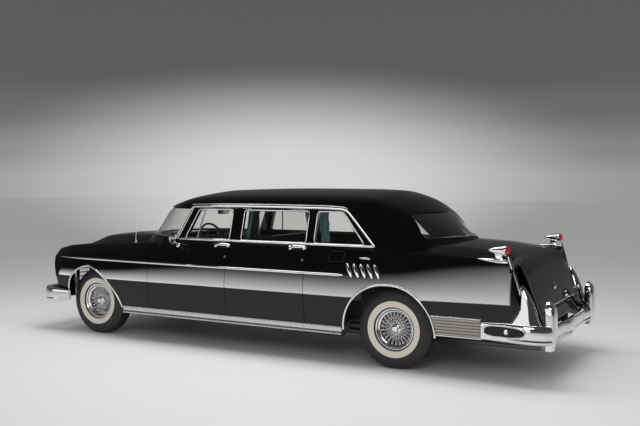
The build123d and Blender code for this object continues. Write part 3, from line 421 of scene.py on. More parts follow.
def makeSurfaceLife():
    # Fine unevenness of a finish: a tint, a roughness and a height that vary over the surface
    group, entry, out = nodeGroup(
        "surfaceLife",
        [("Colour", "NodeSocketColor", (0.5, 0.5, 0.5, 1)), ("Variation", "NodeSocketFloat", 0.1),
         ("Roughness", "NodeSocketFloat", 0.3), ("Roughness Swing", "NodeSocketFloat", 0.05),
         ("Scale", "NodeSocketFloat", 12.0), ("Grain Scale", "NodeSocketFloat", 400.0)],
        [("Colour", "NodeSocketColor"), ("Roughness", "NodeSocketFloat"), ("Height", "NodeSocketFloat")])
    nodes, links = group.nodes, group.links
    place = nodes.new("ShaderNodeTexCoord")
    broad = nodes.new("ShaderNodeTexNoise")
    fine = nodes.new("ShaderNodeTexNoise")
    broad.inputs["Detail"].default_value = 4.0
    fine.inputs["Detail"].default_value = 2.0
    links.new(place.outputs["Object"], broad.inputs["Vector"])
    links.new(place.outputs["Object"], fine.inputs["Vector"])
    links.new(entry.outputs["Scale"], broad.inputs["Scale"])
    links.new(entry.outputs["Grain Scale"], fine.inputs["Scale"])
    shade = nodes.new("ShaderNodeMapRange")
    shade.inputs["To Min"].default_value = 0.75
    shade.inputs["To Max"].default_value = 1.25
    links.new(broad.outputs["Fac"], shade.inputs["Value"])
    tinted = nodes.new("ShaderNodeMix")
    tinted.data_type = "RGBA"
    tinted.blend_type = "MULTIPLY"
    links.new(entry.outputs["Variation"], tinted.inputs["Factor"])
    links.new(entry.outputs["Colour"], tinted.inputs["A"])
    links.new(shade.outputs["Result"], tinted.inputs["B"])
    centred = nodes.new("ShaderNodeMath")
    centred.operation = "SUBTRACT"
    centred.inputs[1].default_value = 0.5
    links.new(broad.outputs["Fac"], centred.inputs[0])
    swung = nodes.new("ShaderNodeMath")
    swung.operation = "MULTIPLY_ADD"
    links.new(centred.outputs[0], swung.inputs[0])
    links.new(entry.outputs["Roughness Swing"], swung.inputs[1])
    links.new(entry.outputs["Roughness"], swung.inputs[2])
    links.new(tinted.outputs["Result"], out.inputs["Colour"])
    links.new(swung.outputs[0], out.inputs["Roughness"])
    links.new(fine.outputs["Fac"], out.inputs["Height"])
    return group


def makeWovenCloth():
    # Threads over and under, with a tint that changes from thread to thread
    group, entry, out = nodeGroup(
        "wovenCloth",
        [("Colour", "NodeSocketColor", (0.4, 0.4, 0.4, 1)), ("Thread Scale", "NodeSocketFloat", 500.0)],
        [("Colour", "NodeSocketColor"), ("Height", "NodeSocketFloat")])
    nodes, links = group.nodes, group.links
    place = nodes.new("ShaderNodeTexCoord")
    heights = []
    for direction in ("X", "Z"):
        wave = nodes.new("ShaderNodeTexWave")
        wave.bands_direction = direction
        links.new(place.outputs["Object"], wave.inputs["Vector"])
        links.new(entry.outputs["Thread Scale"], wave.inputs["Scale"])
        wave.inputs["Distortion"].default_value = 0.6
        heights.append(wave)
    together = nodes.new("ShaderNodeMath")
    together.operation = "MULTIPLY"
    links.new(heights[0].outputs["Fac"], together.inputs[0])
    links.new(heights[1].outputs["Fac"], together.inputs[1])
    fleck = nodes.new("ShaderNodeTexNoise")
    fleck.inputs["Scale"].default_value = 90.0
    links.new(place.outputs["Object"], fleck.inputs["Vector"])
    shade = nodes.new("ShaderNodeMapRange")
    shade.inputs["To Min"].default_value = 0.7
    shade.inputs["To Max"].default_value = 1.2
    links.new(fleck.outputs["Fac"], shade.inputs["Value"])
    tinted = nodes.new("ShaderNodeMix")
    tinted.data_type = "RGBA"
    tinted.blend_type = "MULTIPLY"
    tinted.inputs["Factor"].default_value = 1.0
    links.new(entry.outputs["Colour"], tinted.inputs["A"])
    links.new(shade.outputs["Result"], tinted.inputs["B"])
    links.new(tinted.outputs["Result"], out.inputs["Colour"])
    links.new(together.outputs[0], out.inputs["Height"])
    return group


surfaceLife = makeSurfaceLife()
wovenCloth = makeWovenCloth()


def finish(name, colour, roughness, metallic=0.0, variation=0.1, swing=0.04, scale=8.0, grain=300.0,
           grainHeight=0.0, coat=0.0, coatRoughness=0.03, ior=1.5, sheen=0.0):
    material = bpy.data.materials.new(name)
    material.use_nodes = True
    nodes, links = material.node_tree.nodes, material.node_tree.links
    shader = nodes["Principled BSDF"]
    life = nodes.new("ShaderNodeGroup")
    life.node_tree = surfaceLife
    life.inputs["Colour"].default_value = (*colour, 1)
    life.inputs["Variation"].default_value = variation
    life.inputs["Roughness"].default_value = roughness
    life.inputs["Roughness Swing"].default_value = swing
    life.inputs["Scale"].default_value = scale
    life.inputs["Grain Scale"].default_value = grain
    links.new(life.outputs["Colour"], shader.inputs["Base Color"])
    links.new(life.outputs["Roughness"], shader.inputs["Roughness"])
    shader.inputs["Metallic"].default_value = metallic
    shader.inputs["Coat Weight"].default_value = coat
    shader.inputs["Coat Roughness"].default_value = coatRoughness
    shader.inputs["IOR"].default_value = ior
    shader.inputs["Sheen Weight"].default_value = sheen
    if grainHeight:
        bump = nodes.new("ShaderNodeBump")
        bump.inputs["Strength"].default_value = 0.5
        bump.inputs["Distance"].default_value = grainHeight
        links.new(life.outputs["Height"], bump.inputs["Height"])
        links.new(bump.outputs["Normal"], shader.inputs["Normal"])
    return material


def clothFinish(name, colour, threads=500.0, height=0.0006, sheen=0.4):
    material = bpy.data.materials.new(name)
    material.use_nodes = True
    nodes, links = material.node_tree.nodes, material.node_tree.links
    shader = nodes["Principled BSDF"]
    weave = nodes.new("ShaderNodeGroup")
    weave.node_tree = wovenCloth
    weave.inputs["Colour"].default_value = (*colour, 1)
    weave.inputs["Thread Scale"].default_value = threads
    bump = nodes.new("ShaderNodeBump")
    bump.inputs["Distance"].default_value = height
    links.new(weave.outputs["Colour"], shader.inputs["Base Color"])
    links.new(weave.outputs["Height"], bump.inputs["Height"])
    links.new(bump.outputs["Normal"], shader.inputs["Normal"])
    shader.inputs["Roughness"].default_value = 0.85
    shader.inputs["Sheen Weight"].default_value = sheen
    return material


def glassFinish(name, colour, roughness=0.0, weight=1.0):
    material = bpy.data.materials.new(name)
    material.use_nodes = True
    nodes, links = material.node_tree.nodes, material.node_tree.links
    shader = nodes["Principled BSDF"]
    life = nodes.new("ShaderNodeGroup")
    life.node_tree = surfaceLife
    life.inputs["Colour"].default_value = (*colour, 1)
    life.inputs["Variation"].default_value = 0.04
    life.inputs["Scale"].default_value = 2.0
    links.new(life.outputs["Colour"], shader.inputs["Base Color"])
    shader.inputs["Roughness"].default_value = roughness
    shader.inputs["Transmission Weight"].default_value = weight
    shader.inputs["IOR"].default_value = 1.45
    return material


blackPaint = finish("blackPaint", (0.004, 0.004, 0.005), 0.06, variation=0.3, swing=0.03, coat=0.0, ior=1.42)
chrome = finish("chrome", (0.80, 0.80, 0.81), 0.07, 1.0, variation=0.06, swing=0.06, scale=30)
satinChrome = finish("satinChrome", (0.62, 0.61, 0.60), 0.28, 1.0, variation=0.1, swing=0.1, scale=25)
brushedPanel = finish("brushedPanel", (0.36, 0.335, 0.31), 0.42, 1.0, variation=0.15, swing=0.08, scale=25)
darkSteel = finish("darkSteel", (0.16, 0.16, 0.16), 0.5, 0.7, variation=0.4, scale=10, grainHeight=0.0003)
chassisBlack = finish("chassisBlack", (0.018, 0.018, 0.018), 0.55, variation=0.4, grainHeight=0.0004)
castIron = finish("castIron", (0.07, 0.07, 0.07), 0.65, 0.4, variation=0.5, grain=180, grainHeight=0.0012)
tyreRubber = finish("tyreRubber", (0.017, 0.017, 0.018), 0.62, variation=0.4, swing=0.15, scale=30,
                    grain=700, grainHeight=0.0004)
whiteRubber = finish("whiteRubber", (0.74, 0.69, 0.58), 0.5, variation=0.12, swing=0.1, scale=14,
                     grain=600, grainHeight=0.0002)
redLens = finish("redLens", (0.42, 0.006, 0.012), 0.12, variation=0.3, scale=60, coat=1.0, grain=260,
                 grainHeight=0.0009)
clearLens = glassFinish("clearLens", (0.92, 0.94, 0.95), 0.03)
windowGlass = glassFinish("windowGlass", (0.93, 0.94, 0.92))
seatCloth = clothFinish("seatCloth", (0.22, 0.27, 0.28))
rearSeatCloth = clothFinish("rearSeatCloth", (0.30, 0.36, 0.36))
curtainCloth = clothFinish("curtainCloth", (0.16, 0.30, 0.31), 380.0)
roofLining = clothFinish("roofLining", (0.45, 0.45, 0.42), 320.0)
carpet = clothFinish("carpet", (0.05, 0.06, 0.06), 180.0, 0.003, 0.2)
blackTrim = finish("blackTrim", (0.02, 0.02, 0.021), 0.35, variation=0.2, grain=500, grainHeight=0.0002)
leatherTrim = finish("leatherTrim", (0.12, 0.16, 0.165), 0.45, variation=0.25, grain=240, grainHeight=0.0008)
# black for the dial faces and the fuel flap seam, and painted shade behind the gills and in the bumper
# openings
blackAndPaintedShade = finish("blackAndPaintedShade", (0.012, 0.012, 0.012), 0.8, variation=0.3)
print("finishes ready")


# Painted skins

fenderForm = dict(
    outline=((-0.925, 0.30), (-0.925, 0.48), (-0.906, 0.66), (-0.881, 0.99), (-0.881, 1.30),
             (0.935, 1.30), (0.935, 0.86), (0.942, 0.76), (0.916, 0.62), (0.906, 0.53), (0.906, 0.30)),
    sill=0.383, gutterY=0.66, deckSplitY=0.778, shoulder=0.95,
)
archForm = dict(
    lip=0.3815, topShift=0.0285, top=0.798, frontMid=(0.285, 0.690), sweep=0.466, sweepMid=(0.235, 0.665),
    rearHalf=0.470, rearTop=0.809, foot=0.350,
)
middleForm = dict(
    outline=((-0.942, 0.30), (-0.950, 0.53), (-0.887, 0.982), (-0.740, 1.048), (-0.610, 1.300),
             (0.860, 1.300), (0.908, 0.815), (0.902, 0.30)),
    hoodRearX=1.905, deckFrontX=-2.225, shelfFrontX=-1.64, deckLidY=0.70, deckLip=0.612, hoodLip=0.93,
)
doorForm = {
    "front": dict(front=1.345, rear=0.304, lean=0.145, frameFront=0.998, frameFrontTop=0.858),
    "rear": dict(front=0.304, rear=-0.648, lean=0.0, frameFront=0.304, frameFrontTop=0.304),
}
windowForm = {
    "front": (0.912, 0.775, 0.330, 0.330), "rear": (0.178, 0.178, -0.604, -0.604),
    "quarter": (-0.704, -0.704, -0.985, -1.262), "bottom": 1.165, "top": 1.472, "frameTop": 1.492,
}


def scaled(shares):
    return [(x * car["halfLength"], z * car["beltHeight"]) for x, z in shares]


def archOutline(front):
    a = archForm
    if front:
        middle = car["frontAxleX"]
        start, top = (middle + a["lip"], a["foot"] + 0.06), (middle + a["topShift"], a["top"])
        end = (middle - a["sweep"], a["foot"])
        first = (middle + a["frontMid"][0], a["frontMid"][1])
        second = (middle - a["sweepMid"][0], a["sweepMid"][1])
    else:
        middle = car["rearAxleX"] + a["topShift"]
        reach = a["rearHalf"] * math.sqrt(0.5)
        start, end = (middle + a["rearHalf"], a["foot"]), (middle - a["rearHalf"], a["foot"])
        top = (middle, a["rearTop"])
        first, second = (middle + reach, a["foot"] + reach), (middle - reach, a["foot"] + reach)
    curve = arcThrough(start, first, top, 14) + arcThrough(top, second, end, 14)[1:]
    return curve, curve + [(end[0], 0.1), (start[0], 0.1)]


def doorOutline(name):
    d, half = doorForm[name], car["gap"] / 2
    front, rear = d["front"] - half, d["rear"] + half
    return [(front, fenderForm["sill"]), (front, fenderForm["shoulder"]), (front - d["lean"], 1.155),
            (rear, 1.155), (rear, fenderForm["sill"])]


def makeSideSkins():
    far = 3.2
    for side, flip in (("left", False), ("right", True)):
        # fender
        bm = formMesh(bodySection, car["doorFrontX"] - 0.2, 2.92, 0.03, True)
        cutPlane(bm, (0, fenderForm["gutterY"], 0), (0, -1, 0))
        d, half = doorForm["front"], car["gap"] / 2
        rear = d["front"] + half
        region = [(far, fenderForm["sill"]), (far, 1.6), (rear - d["lean"], 1.6), (rear - d["lean"], 1.152),
                  (rear, fenderForm["shoulder"] - 0.012), (rear, fenderForm["sill"])]
        cutOutline(bm, region, True)
        cutOutline(bm, scaled(fenderForm["outline"]), True)
        cutOutline(bm, archOutline(True)[1], False)
        skinPiece(f"fenderSkin_{side}", bm, blackPaint, "body", flip)
        # doors below the belt
        for name in doorForm:
            d = doorForm[name]
            bm = formMesh(bodySection, d["rear"] - 0.05, d["front"] + 0.05, 0.03, True)
            cutPlane(bm, (0, 0.82, 0), (0, -1, 0))
            cutOutline(bm, doorOutline(name), True)
            skinPiece(f"doorSkin_{name}_{side}", bm, blackPaint, f"door_{name}_{side}", flip)
        # rear quarter
        bm = formMesh(bodySection, -2.92, car["doorRearX"] + 0.05, 0.03, True)
        cutPlane(bm, (0, fenderForm["deckSplitY"], 0), (0, -1, 0))
        rear = car["doorRearX"] - car["gap"] / 2
        region = [(-far, fenderForm["sill"]), (-far, 1.6), (rear, 1.6), (rear, fenderForm["sill"])]
        cutOutline(bm, region, True)
        cutOutline(bm, scaled(fenderForm["outline"]), True)
        cutOutline(bm, archOutline(False)[1], False)
        skinPiece(f"quarterSkin_{side}", bm, blackPaint, "body", flip)
    print("side skins ready")


def makeMiddleSkins():
    m = middleForm
    bm = formMesh(bodySection, m["hoodRearX"], 2.92, 0.03, False)
    reach = fenderForm["gutterY"] - car["gap"]
    cutPlane(bm, (0, reach, 0), (0, 1, 0))
    cutPlane(bm, (0, -reach, 0), (0, -1, 0))
    outline = scaled(m["outline"])
    cutOutline(bm, outline, True)
    cutPlane(bm, (0, 0, m["hoodLip"]), (0, 0, -1))
    skinPiece("hoodSkin", bm, blackPaint, "hood")
    bm = formMesh(bodySection, car["doorFrontX"] - 0.01, m["hoodRearX"] - car["gap"], 0.03, False)
    cutPlane(bm, (0, fenderForm["gutterY"], 0), (0, 1, 0))
    cutPlane(bm, (0, -fenderForm["gutterY"], 0), (0, -1, 0))
    skinPiece("cowlSkin", bm, blackPaint, "body")
    # the deck and the tail: the top of the body bends down into the sloping back
    for name, body, xFront, yReach in (("deckLidSkin", "deck_lid", m["deckFrontX"], m["deckLidY"]),
                                       ("tailSkin", "body", m["shelfFrontX"], fenderForm["deckSplitY"])):
        bm = tailMesh(xFront, yReach, m)
        if body == "body":
            edge = m["deckLidY"] + car["gap"]
            cutLidHole(bm, m["deckFrontX"] + car["gap"], edge, m["deckLip"] - car["gap"])
        else:
            cutPlane(bm, (0, 0, m["deckLip"]), (0, 0, -1))
        skinPiece(name, bm, blackPaint, body)
    print("middle skins ready")


def tailMesh(xFront, yReach, m):
    low, high = [(x * car["halfLength"], z * car["beltHeight"]) for x, z in m["outline"][1:3]]
    lean = (high[0] - low[0]) / (high[1] - low[1])
    bm = bmesh.new()
    rows = []
    ys = [-yReach + 2 * yReach * i / 60 for i in range(61)]
    for y in ys:
        # the deck line at this y, up to where it meets the sloping back
        deck = []
        x = xFront
        while x > -2.93:
            z = topAt(x, abs(y))[0]
            backX = low[0] + lean * (z - low[1])
            if x <= backX:
                break
            deck.append((x, z))
            x -= 0.02
        x, z = deck[-1]
        corner = (low[0] + lean * (z - 0.006 - low[1]), z - 0.006)
        foot = (low[0] + lean * (0.505 - low[1]), 0.505)
        bend = roundCorner(deck[-12], corner, foot, 0.16, 14)
        kept = [p for p in deck if p[0] > bend[0][0] + 0.004]
        line = kept + bend + alongLine(bend[-1], foot, 20)[1:]
        rows.append(evenly(line, 90))
    grid = [[bm.verts.new((x, y, z)) for x, z in line] for y, line in zip(ys, rows)]
    for a, b in zip(grid, grid[1:]):
        for i in range(len(a) - 1):
            bm.faces.new((a[i], a[i + 1], b[i + 1], b[i]))
    return bm


def cutLidHole(bm, xFront, yReach, lip):
    for place, normal in (((xFront, 0, 0), (1, 0, 0)), ((0, yReach, 0), (0, 1, 0)),
                          ((0, -yReach, 0), (0, 1, 0)), ((0, 0, lip), (0, 0, 1))):
        bmesh.ops.bisect_plane(bm, geom=bm.verts[:] + bm.edges[:] + bm.faces[:], dist=1e-6,
                               plane_co=place, plane_no=normal)
    doomed = [f for f in bm.faces if f.calc_center_median().x < xFront
              and abs(f.calc_center_median().y) < yReach and f.calc_center_median().z > lip]
    bmesh.ops.delete(bm, geom=doomed, context="FACES")


def windowOutline(name, grow=0.0):
    lowFront, topFront, topRear, lowRear = windowForm[name]
    bottom, top = windowForm["bottom"] - grow, windowForm["top"] + grow
    return [(lowFront + grow, bottom), (topFront + grow, top), (topRear - grow, top),
            (lowRear - grow, bottom)]


def doorFrameOutline(name, grow=0.0):
    d, half = doorForm[name], car["gap"] / 2
    front, rear = d["front"] - half, d["rear"] + half
    frameFront, frameTop = d["frameFront"], d["frameFrontTop"]
    if not d["lean"]:
        frameFront, frameTop = front, front
    top = windowForm["frameTop"] + grow
    return [(frameFront + grow, 1.08), (frameTop + grow, top), (rear - grow, top), (rear - grow, 1.08)]


windshieldForm = dict(outline=((1.060, 1.165), (0.902, 1.475), (3.08, 1.508), (3.08, 1.213)))
backlightForm = dict(low=1.232, top=1.472, lowY=0.650, topY=0.590)


def backlightOutline(grow=0.0):
    b = backlightForm
    corners = [(-b["lowY"] - grow, b["low"] - grow), (b["lowY"] + grow, b["low"] - grow),
               (b["topY"] + grow, b["top"] + grow), (-b["topY"] - grow, b["top"] + grow)]
    outline = []
    for i in range(4):
        outline += roundCorner(corners[i - 1], corners[i], corners[(i + 1) % 4], 0.06, 5)
    return outline


def makeHouseSkins():
    bm = formMesh(houseSection, -2.174, 1.878, 0.025, False)
    cutOutline(bm, list(windshieldForm["outline"]), False)
    cutOutline(bm, backlightOutline(), False, (1, 2), lambda c: c.x < -1.5)
    gap = car["gap"]
    for sign in (1, -1):
        onSide = (lambda c, s=sign: c.y * s > 0.4)
        cutOutline(bm, windowOutline("quarter"), False, (0, 2), onSide)
        cutOutline(bm, doorFrameOutline("front", gap), False, (0, 2), onSide)
        cutOutline(bm, doorFrameOutline("rear", gap), False, (0, 2), onSide)
    skinPiece("roofSkin", bm, blackPaint, "body")
    for side, flip in (("left", False), ("right", True)):
        for name in doorForm:
            d = doorForm[name]
            bm = formMesh(houseSection, d["rear"] - 0.05, d["front"] + 0.05, 0.025, True)
            cutOutline(bm, doorFrameOutline(name), True)
            cutPlane(bm, (0, 0.4, 0), (0, -1, 0))
            cutOutline(bm, windowOutline(name), False)
            cutPlane(bm, (0, 0, 1.14), (0, 0, -1))
            skinPiece(f"doorFrameSkin_{name}_{side}", bm, blackPaint, f"door_{name}_{side}", flip)
    print("roof and frame skins ready")


def glassSection(inset):
    return lambda x: houseSection(x, inset)


def makeGlass():
    sheet = glassSection(0.014)
    grow = 0.008
    bm = formMesh(sheet, 0.86, 1.86, 0.025, False)
    outline = [(1.060 - 0.006, 1.157), (0.902 - 0.010, 1.483), (3.2, 1.518), (3.2, 1.205)]
    cutOutline(bm, outline, True)
    shield = skinPiece("windshieldGlass", bm, windowGlass, "body", thickness=0.005)
    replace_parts(shield, "fixed_glass")
    bm = formMesh(sheet, -2.17, -1.5, 0.025, False)
    cutOutline(bm, backlightOutline(grow), True, (1, 2))
    skinPiece("backlightGlass", bm, windowGlass, "body", thickness=0.005)
    for side, flip in (("left", False), ("right", True)):
        bm = formMesh(sheet, -1.32, -0.66, 0.03, True)
        cutPlane(bm, (0, 0.4, 0), (0, -1, 0))
        cutOutline(bm, windowOutline("quarter", grow), True)
        skinPiece(f"quarterGlass_{side}", bm, windowGlass, "body", flip, 0.005)
        for name in doorForm:
            d = doorForm[name]
            bm = formMesh(sheet, d["rear"], d["front"], 0.03, True)
            cutPlane(bm, (0, 0.4, 0), (0, -1, 0))
            cutOutline(bm, windowOutline(name, grow), True)
            pane = skinPiece(f"doorGlass_{name}_{side}", bm, windowGlass, f"door_{name}_{side}", flip, 0.005)
            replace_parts(pane, f"door_glass_{name}_{side}")
    print("glass ready")


makeSideSkins()
makeMiddleSkins()
makeHouseSkins()
makeGlass()


# Bright work

sides = (("left", 1), ("right", -1))


def spread(line, step):
    # More points on the runs of a line, so that it can follow a curved surface
    result = [tuple(line[0])]
    for a, b in zip(line, line[1:]):
        count = max(1, math.ceil(math.dist(a, b) / step))
        result += [tuple(p + (q - p) * i / count for p, q in zip(a, b)) for i in range(1, count + 1)]
    return result


def softLine(line, reach, closed=False, count=6):
    # The corners of a line become soft curves
    if closed:
        result = []
        for i in range(len(line)):
            result += roundCorner(line[i - 1], line[i], line[(i + 1) % len(line)], reach, count)
        return result + [result[0]]
    result = [line[0]]
    for a, b, c in zip(line, line[1:], line[2:]):
        result += roundCorner(a, b, c, reach, count)
    return result + [line[-1]]


def onSide(line, section=bodySection, lift=0.0, step=0.03):
    points, normals = [], []
    for x, z in spread(line, step):
        y, normal = sideAt(x, z, section)
        points.append(Vector((x, y, z)) + normal * lift)
        normals.append(normal)
    return points, normals


def crowned(width, height, count=8, sunk=0.002):
    top = [(-width / 2 * math.cos(math.pi * i / count), height * math.sin(math.pi * i / count))
           for i in range(count + 1)]
    return top + [(width / 2, -sunk), (-width / 2, -sunk)]


def roundRod(radius, count=10):
    return [(radius * math.cos(2 * math.pi * i / count), radius * math.sin(2 * math.pi * i / count))
            for i in range(count)]


def solidPiece(name, verts, faces, material, body, smooth=True, sharp=None):
    mesh = bpy.data.meshes.new(name)
    mesh.from_pydata([tuple(v) for v in verts], [], faces)
    bm = bmesh.new()
    bm.from_mesh(mesh)
    bmesh.ops.recalc_face_normals(bm, faces=bm.faces)
    bm.to_mesh(mesh)
    bm.free()
    piece = meshObject(name, mesh, material, body, smooth)
    if sharp:
        sharpByAngle(mesh, sharp)
    return piece


def sweptPiece(name, points, normals, profile, material, body, closed=False, sizes=None,
               sharp=40):
    # Carries a profile along a line: its first number lies across the line, its second stands out
    count, verts = len(points), []
    for i in range(count):
        before = Vector(points[i - 1]) if closed or i else Vector(points[0])
        after = Vector(points[(i + 1) % count]) if closed or i < count - 1 else Vector(points[-1])
        along = (after - before).normalized()
        out = Vector(normals[i])
        out = (out - along * out.dot(along)).normalized()
        across = along.cross(out)
        wide, tall = sizes[i] if sizes else (1, 1)
        verts += [Vector(points[i]) + across * u * wide + out * v * tall for u, v in profile]
    faces = gridFaces(count, len(profile), closed, True)
    if not closed:
        faces += [tuple(range(len(profile))), tuple(range((count - 1) * len(profile), count * len(profile)))]
    return solidPiece(name, verts, faces, material, body, True, sharp)


def sidePair(name, line, profile, material, body, section=bodySection, closed=False, lift=0.0, step=0.03,
             sizes=None):
    # One strip on each side of the car. The body's name may hold the word side in braces
    points, normals = onSide(line, section, lift, step)
    if closed:
        points, normals = points[:-1], normals[:-1]
    scale = [sizes(i / (len(points) - 1)) for i in range(len(points))] if sizes else None
    for side, sign in sides:
        flipped = [Vector((p.x, p.y * sign, p.z)) for p in points]
        outward = [Vector((n.x, n.y * sign, n.z)) for n in normals]
        sweptPiece(f"{name}_{side}", flipped, outward, profile, material, body.format(side=side),
                   closed, scale)


def spunPiece(name, profile, place, axis, material, body, count=48, sharp=35,
              closedProfile=False):
    # Turns a profile of radius and distance about an axis
    axis = Vector(axis).normalized()
    one = axis.orthogonal().normalized()
    two = axis.cross(one)
    verts, faces = [], []
    for i in range(count):
        angle = 2 * math.pi * i / count
        ray = one * math.cos(angle) + two * math.sin(angle)
        verts += [Vector(place) + ray * max(r, 1e-4) + axis * h for r, h in profile]
    faces = gridFaces(count, len(profile), True, closedProfile)
    if not closedProfile:
        for at in (0, len(profile) - 1):
            faces.append(tuple(i * len(profile) + at for i in range(count)))
    return solidPiece(name, verts, faces, material, body, True, sharp)


stripForm = dict(
    spearZ=0.875, spearFront=2.79, spearRear=-1.086, spear=(0.026, 0.011), beltZ=1.152, belt=(0.020, 0.008),
    beltFront=0.985, beltRear=-1.366, rail=(0.020, 0.013), reveal=(0.013, 0.006), lip=(0.020, 0.008),
    railLine=((1.046, 1.150), (0.892, 1.500), (0.60, 1.508), (0.0, 1.512), (-0.80, 1.508), (-1.02, 1.498),
              (-1.372, 1.150)),
    sillFront=1.735, sillRear=-1.06, sillY=0.957, sillZ=0.334,
)


def makeStrips():
    f, half = stripForm, car["gap"] / 2
    stretches = (("fender", f["spearFront"], car["doorFrontX"] + half, "body"),
                 ("doorFront", car["doorFrontX"] - half, car["doorSplitX"] + half, "door_front_{side}"),
                 ("doorRear", car["doorSplitX"] - half, car["doorRearX"] + half, "door_rear_{side}"),
                 ("quarter", car["doorRearX"] - half, f["spearRear"], "body"))
    for name, start, end, body in stretches:
        grow = {"fender": lambda t: (min(1, 0.25 + t * 2.2),) * 2,
                "quarter": lambda t: (min(1, 0.3 + (1 - t) * 6),) * 2}.get(name)
        sidePair(f"spear_{name}", [(start, f["spearZ"]), (end, f["spearZ"])], crowned(*f["spear"]), chrome,
                 body, sizes=grow)
        if name != "fender":
            belt = [(min(start, f["beltFront"]), f["beltZ"]), (max(end, f["beltRear"]) if name != "quarter"
                                                              else f["beltRear"], f["beltZ"])]
            sidePair(f"beltStrip_{name}", belt, crowned(*f["belt"]), chrome, body, houseSection)
    # the drip rail in two lines, up the front post, along the roof and down behind the last window
    rail = softLine(f["railLine"], 0.06)
    sidePair("dripRail", rail, crowned(*f["rail"]), chrome, "body", houseSection, lift=0.001)
    upper = softLine([(x + 0.012 if z < 1.2 and x > 0 else x, z + (0.024 if z > 1.2 else 0))
                      for x, z in f["railLine"] if x < 1.0], 0.06)
    sidePair("dripRailUpper", upper[:-3], crowned(0.009, 0.007), chrome, "body", houseSection)
    sidePair("frontPostCover", [(1.030, 1.155), (0.878, 1.488)], crowned(0.034, 0.006), satinChrome, "body",
             houseSection, lift=0.002)
    for name, body in (("front", "door_front_{side}"), ("rear", "door_rear_{side}"), ("quarter", "body")):
        loop = softLine(windowOutline(name, 0.004), 0.035, True)
        sidePair(f"windowReveal_{name}", loop, crowned(*f["reveal"]), chrome, body, houseSection, True)
    # the fixed bar behind the vent pane
    sidePair("ventBar", [(0.752, 1.166), (0.700, 1.470)], crowned(0.016, 0.010), chrome, "door_front_{side}",
             houseSection, lift=-0.006)
    # sill moulding with two ridges
    ridges = [(-0.044, -0.003), (-0.043, 0.006), (-0.036, 0.011), (-0.028, 0.008), (-0.023, 0.002),
              (0.010, 0.002),
              (0.016, 0.008), (0.028, 0.012), (0.040, 0.007), (0.044, -0.003)]
    for side, sign in sides:
        line = [Vector((x, f["sillY"] * sign, f["sillZ"])) for x, _ in
                spread([(f["sillFront"], 0), (f["sillRear"], 0)], 0.1)]
        sweptPiece(f"sillMoulding_{side}", line, [Vector((0, sign, 0))] * len(line),
                   [(u * (1 if sign > 0 else -1), v) for u, v in ridges], satinChrome, "body")
    for front, label in ((True, "front"), (False, "rear")):
        curve = archOutline(front)[0]
        sidePair(f"archLip_{label}", curve, crowned(*f["lip"]), chrome, "body", lift=0.001)
    print("strips ready")


gillForm = dict(count=5, top=(-1.112, 0.985), pitch=-0.0735, slant=-0.070, low=0.862, width=0.034,
                height=0.020)


def makeSideOrnaments():
    g = gillForm
    for i in range(g["count"]):
        topX = g["top"][0] + i * g["pitch"]
        line = [(topX, g["top"][1]), (topX + g["slant"], g["low"])]
        swell = lambda t: (0.45 + 0.55 * math.sin(math.pi * (0.12 + 0.76 * t)),) * 2
        sidePair(f"gill_{i}", line, crowned(g["width"], g["height"]), chrome, "body", sizes=swell, step=0.012)
        # a dark strip just behind each gill: painted shadow of the gill on the paint
        shadowLine = [(x - 0.020, z) for x, z in line]
        sidePair(f"gillSlot_{i}", shadowLine, crowned(0.016, 0.0025), blackAndPaintedShade, "body", sizes=swell, step=0.02)
    sidePair("dart", [(-1.235, 1.044), (-1.352, 1.042)], crowned(0.020, 0.009), chrome, "body", step=0.008,
             sizes=lambda t: (max(0.05, math.sin(math.pi * min(1, t * 1.5) / 1.0 * 0.66)), 1 - 0.7 * t))
    flap = softLine([(-0.91, 1.000), (-1.07, 1.000), (-1.07, 1.098), (-0.91, 1.098)], 0.03, True)
    points, normals = onSide(flap, step=0.02)
    sweptPiece("fuelFlapSeam", points[:-1], normals[:-1], crowned(0.004, 0.0006), blackAndPaintedShade, "body",
               True)
    print("side ornaments ready")


ribForm = dict(rear=-2.462, low=0.385, top=0.552, ribs=6, depth=0.008)


def makeRibbedPanel():
    # The bright panel behind the rear wheel, with level ribs
    r = ribForm
    arch = [p for p in archOutline(False)[0] if p[0] < -1.6]

    def archX(z):
        for a, b in zip(arch, arch[1:]):
            if min(a[1], b[1]) <= z <= max(a[1], b[1]):
                t = (z - a[1]) / ((b[1] - a[1]) or 1e-9)
                return a[0] + (b[0] - a[0]) * t
        return arch[-1][0]
    rows, columns = r["ribs"] * 8 + 1, 24
    verts = []
    for i in range(rows):
        t = i / (rows - 1)
        z = r["low"] + (r["top"] - r["low"]) * t
        swell = r["depth"] * abs(math.sin(math.pi * t * r["ribs"])) ** 0.7
        front = archX(z) - 0.010
        for j in range(columns):
            x = front + (r["rear"] - front) * j / (columns - 1)
            y, normal = sideAt(x, z)
            verts.append(Vector((x, y, z)) + normal * (0.0045 + swell))
    for side, sign in sides:
        flipped = [Vector((v.x, v.y * sign, v.z)) for v in verts]
        faces = gridFaces(rows, columns)
        if sign > 0:
            faces = [f[::-1] for f in faces]
        piece = meshPiece(f"ribbedPanel_{side}", flipped, faces, brushedPanel, "body", True)
        addModifier(piece, "SOLIDIFY", thickness=0.004, offset=-1)
    edge = [(archX(r["top"]) - 0.012, r["top"] + 0.004), (r["rear"], r["top"] + 0.004)]
    sidePair("ribbedPanelEdge", edge, crowned(0.016, 0.010), chrome, "body")
    low = [(archX(r["low"]) - 0.012, r["low"] - 0.002), (r["rear"], r["low"] - 0.002)]
    sidePair("ribbedPanelFoot", low, crowned(0.022, 0.012), chrome, "body")
    print("ribbed panels ready")


# Wheels and tyres

wheelForm = dict(
    bead=0.190, whiteInner=0.204, whiteOuter=0.272, halfWidth=0.105, treadHalf=0.071, grooveDepth=0.007,
    grooves=(-0.046, -0.016, 0.016, 0.046), segments=120, rimHalf=0.0755, rimOuter=0.1897,
    hubRadius=0.060, spokes=24, spokeRadius=0.0026,
)


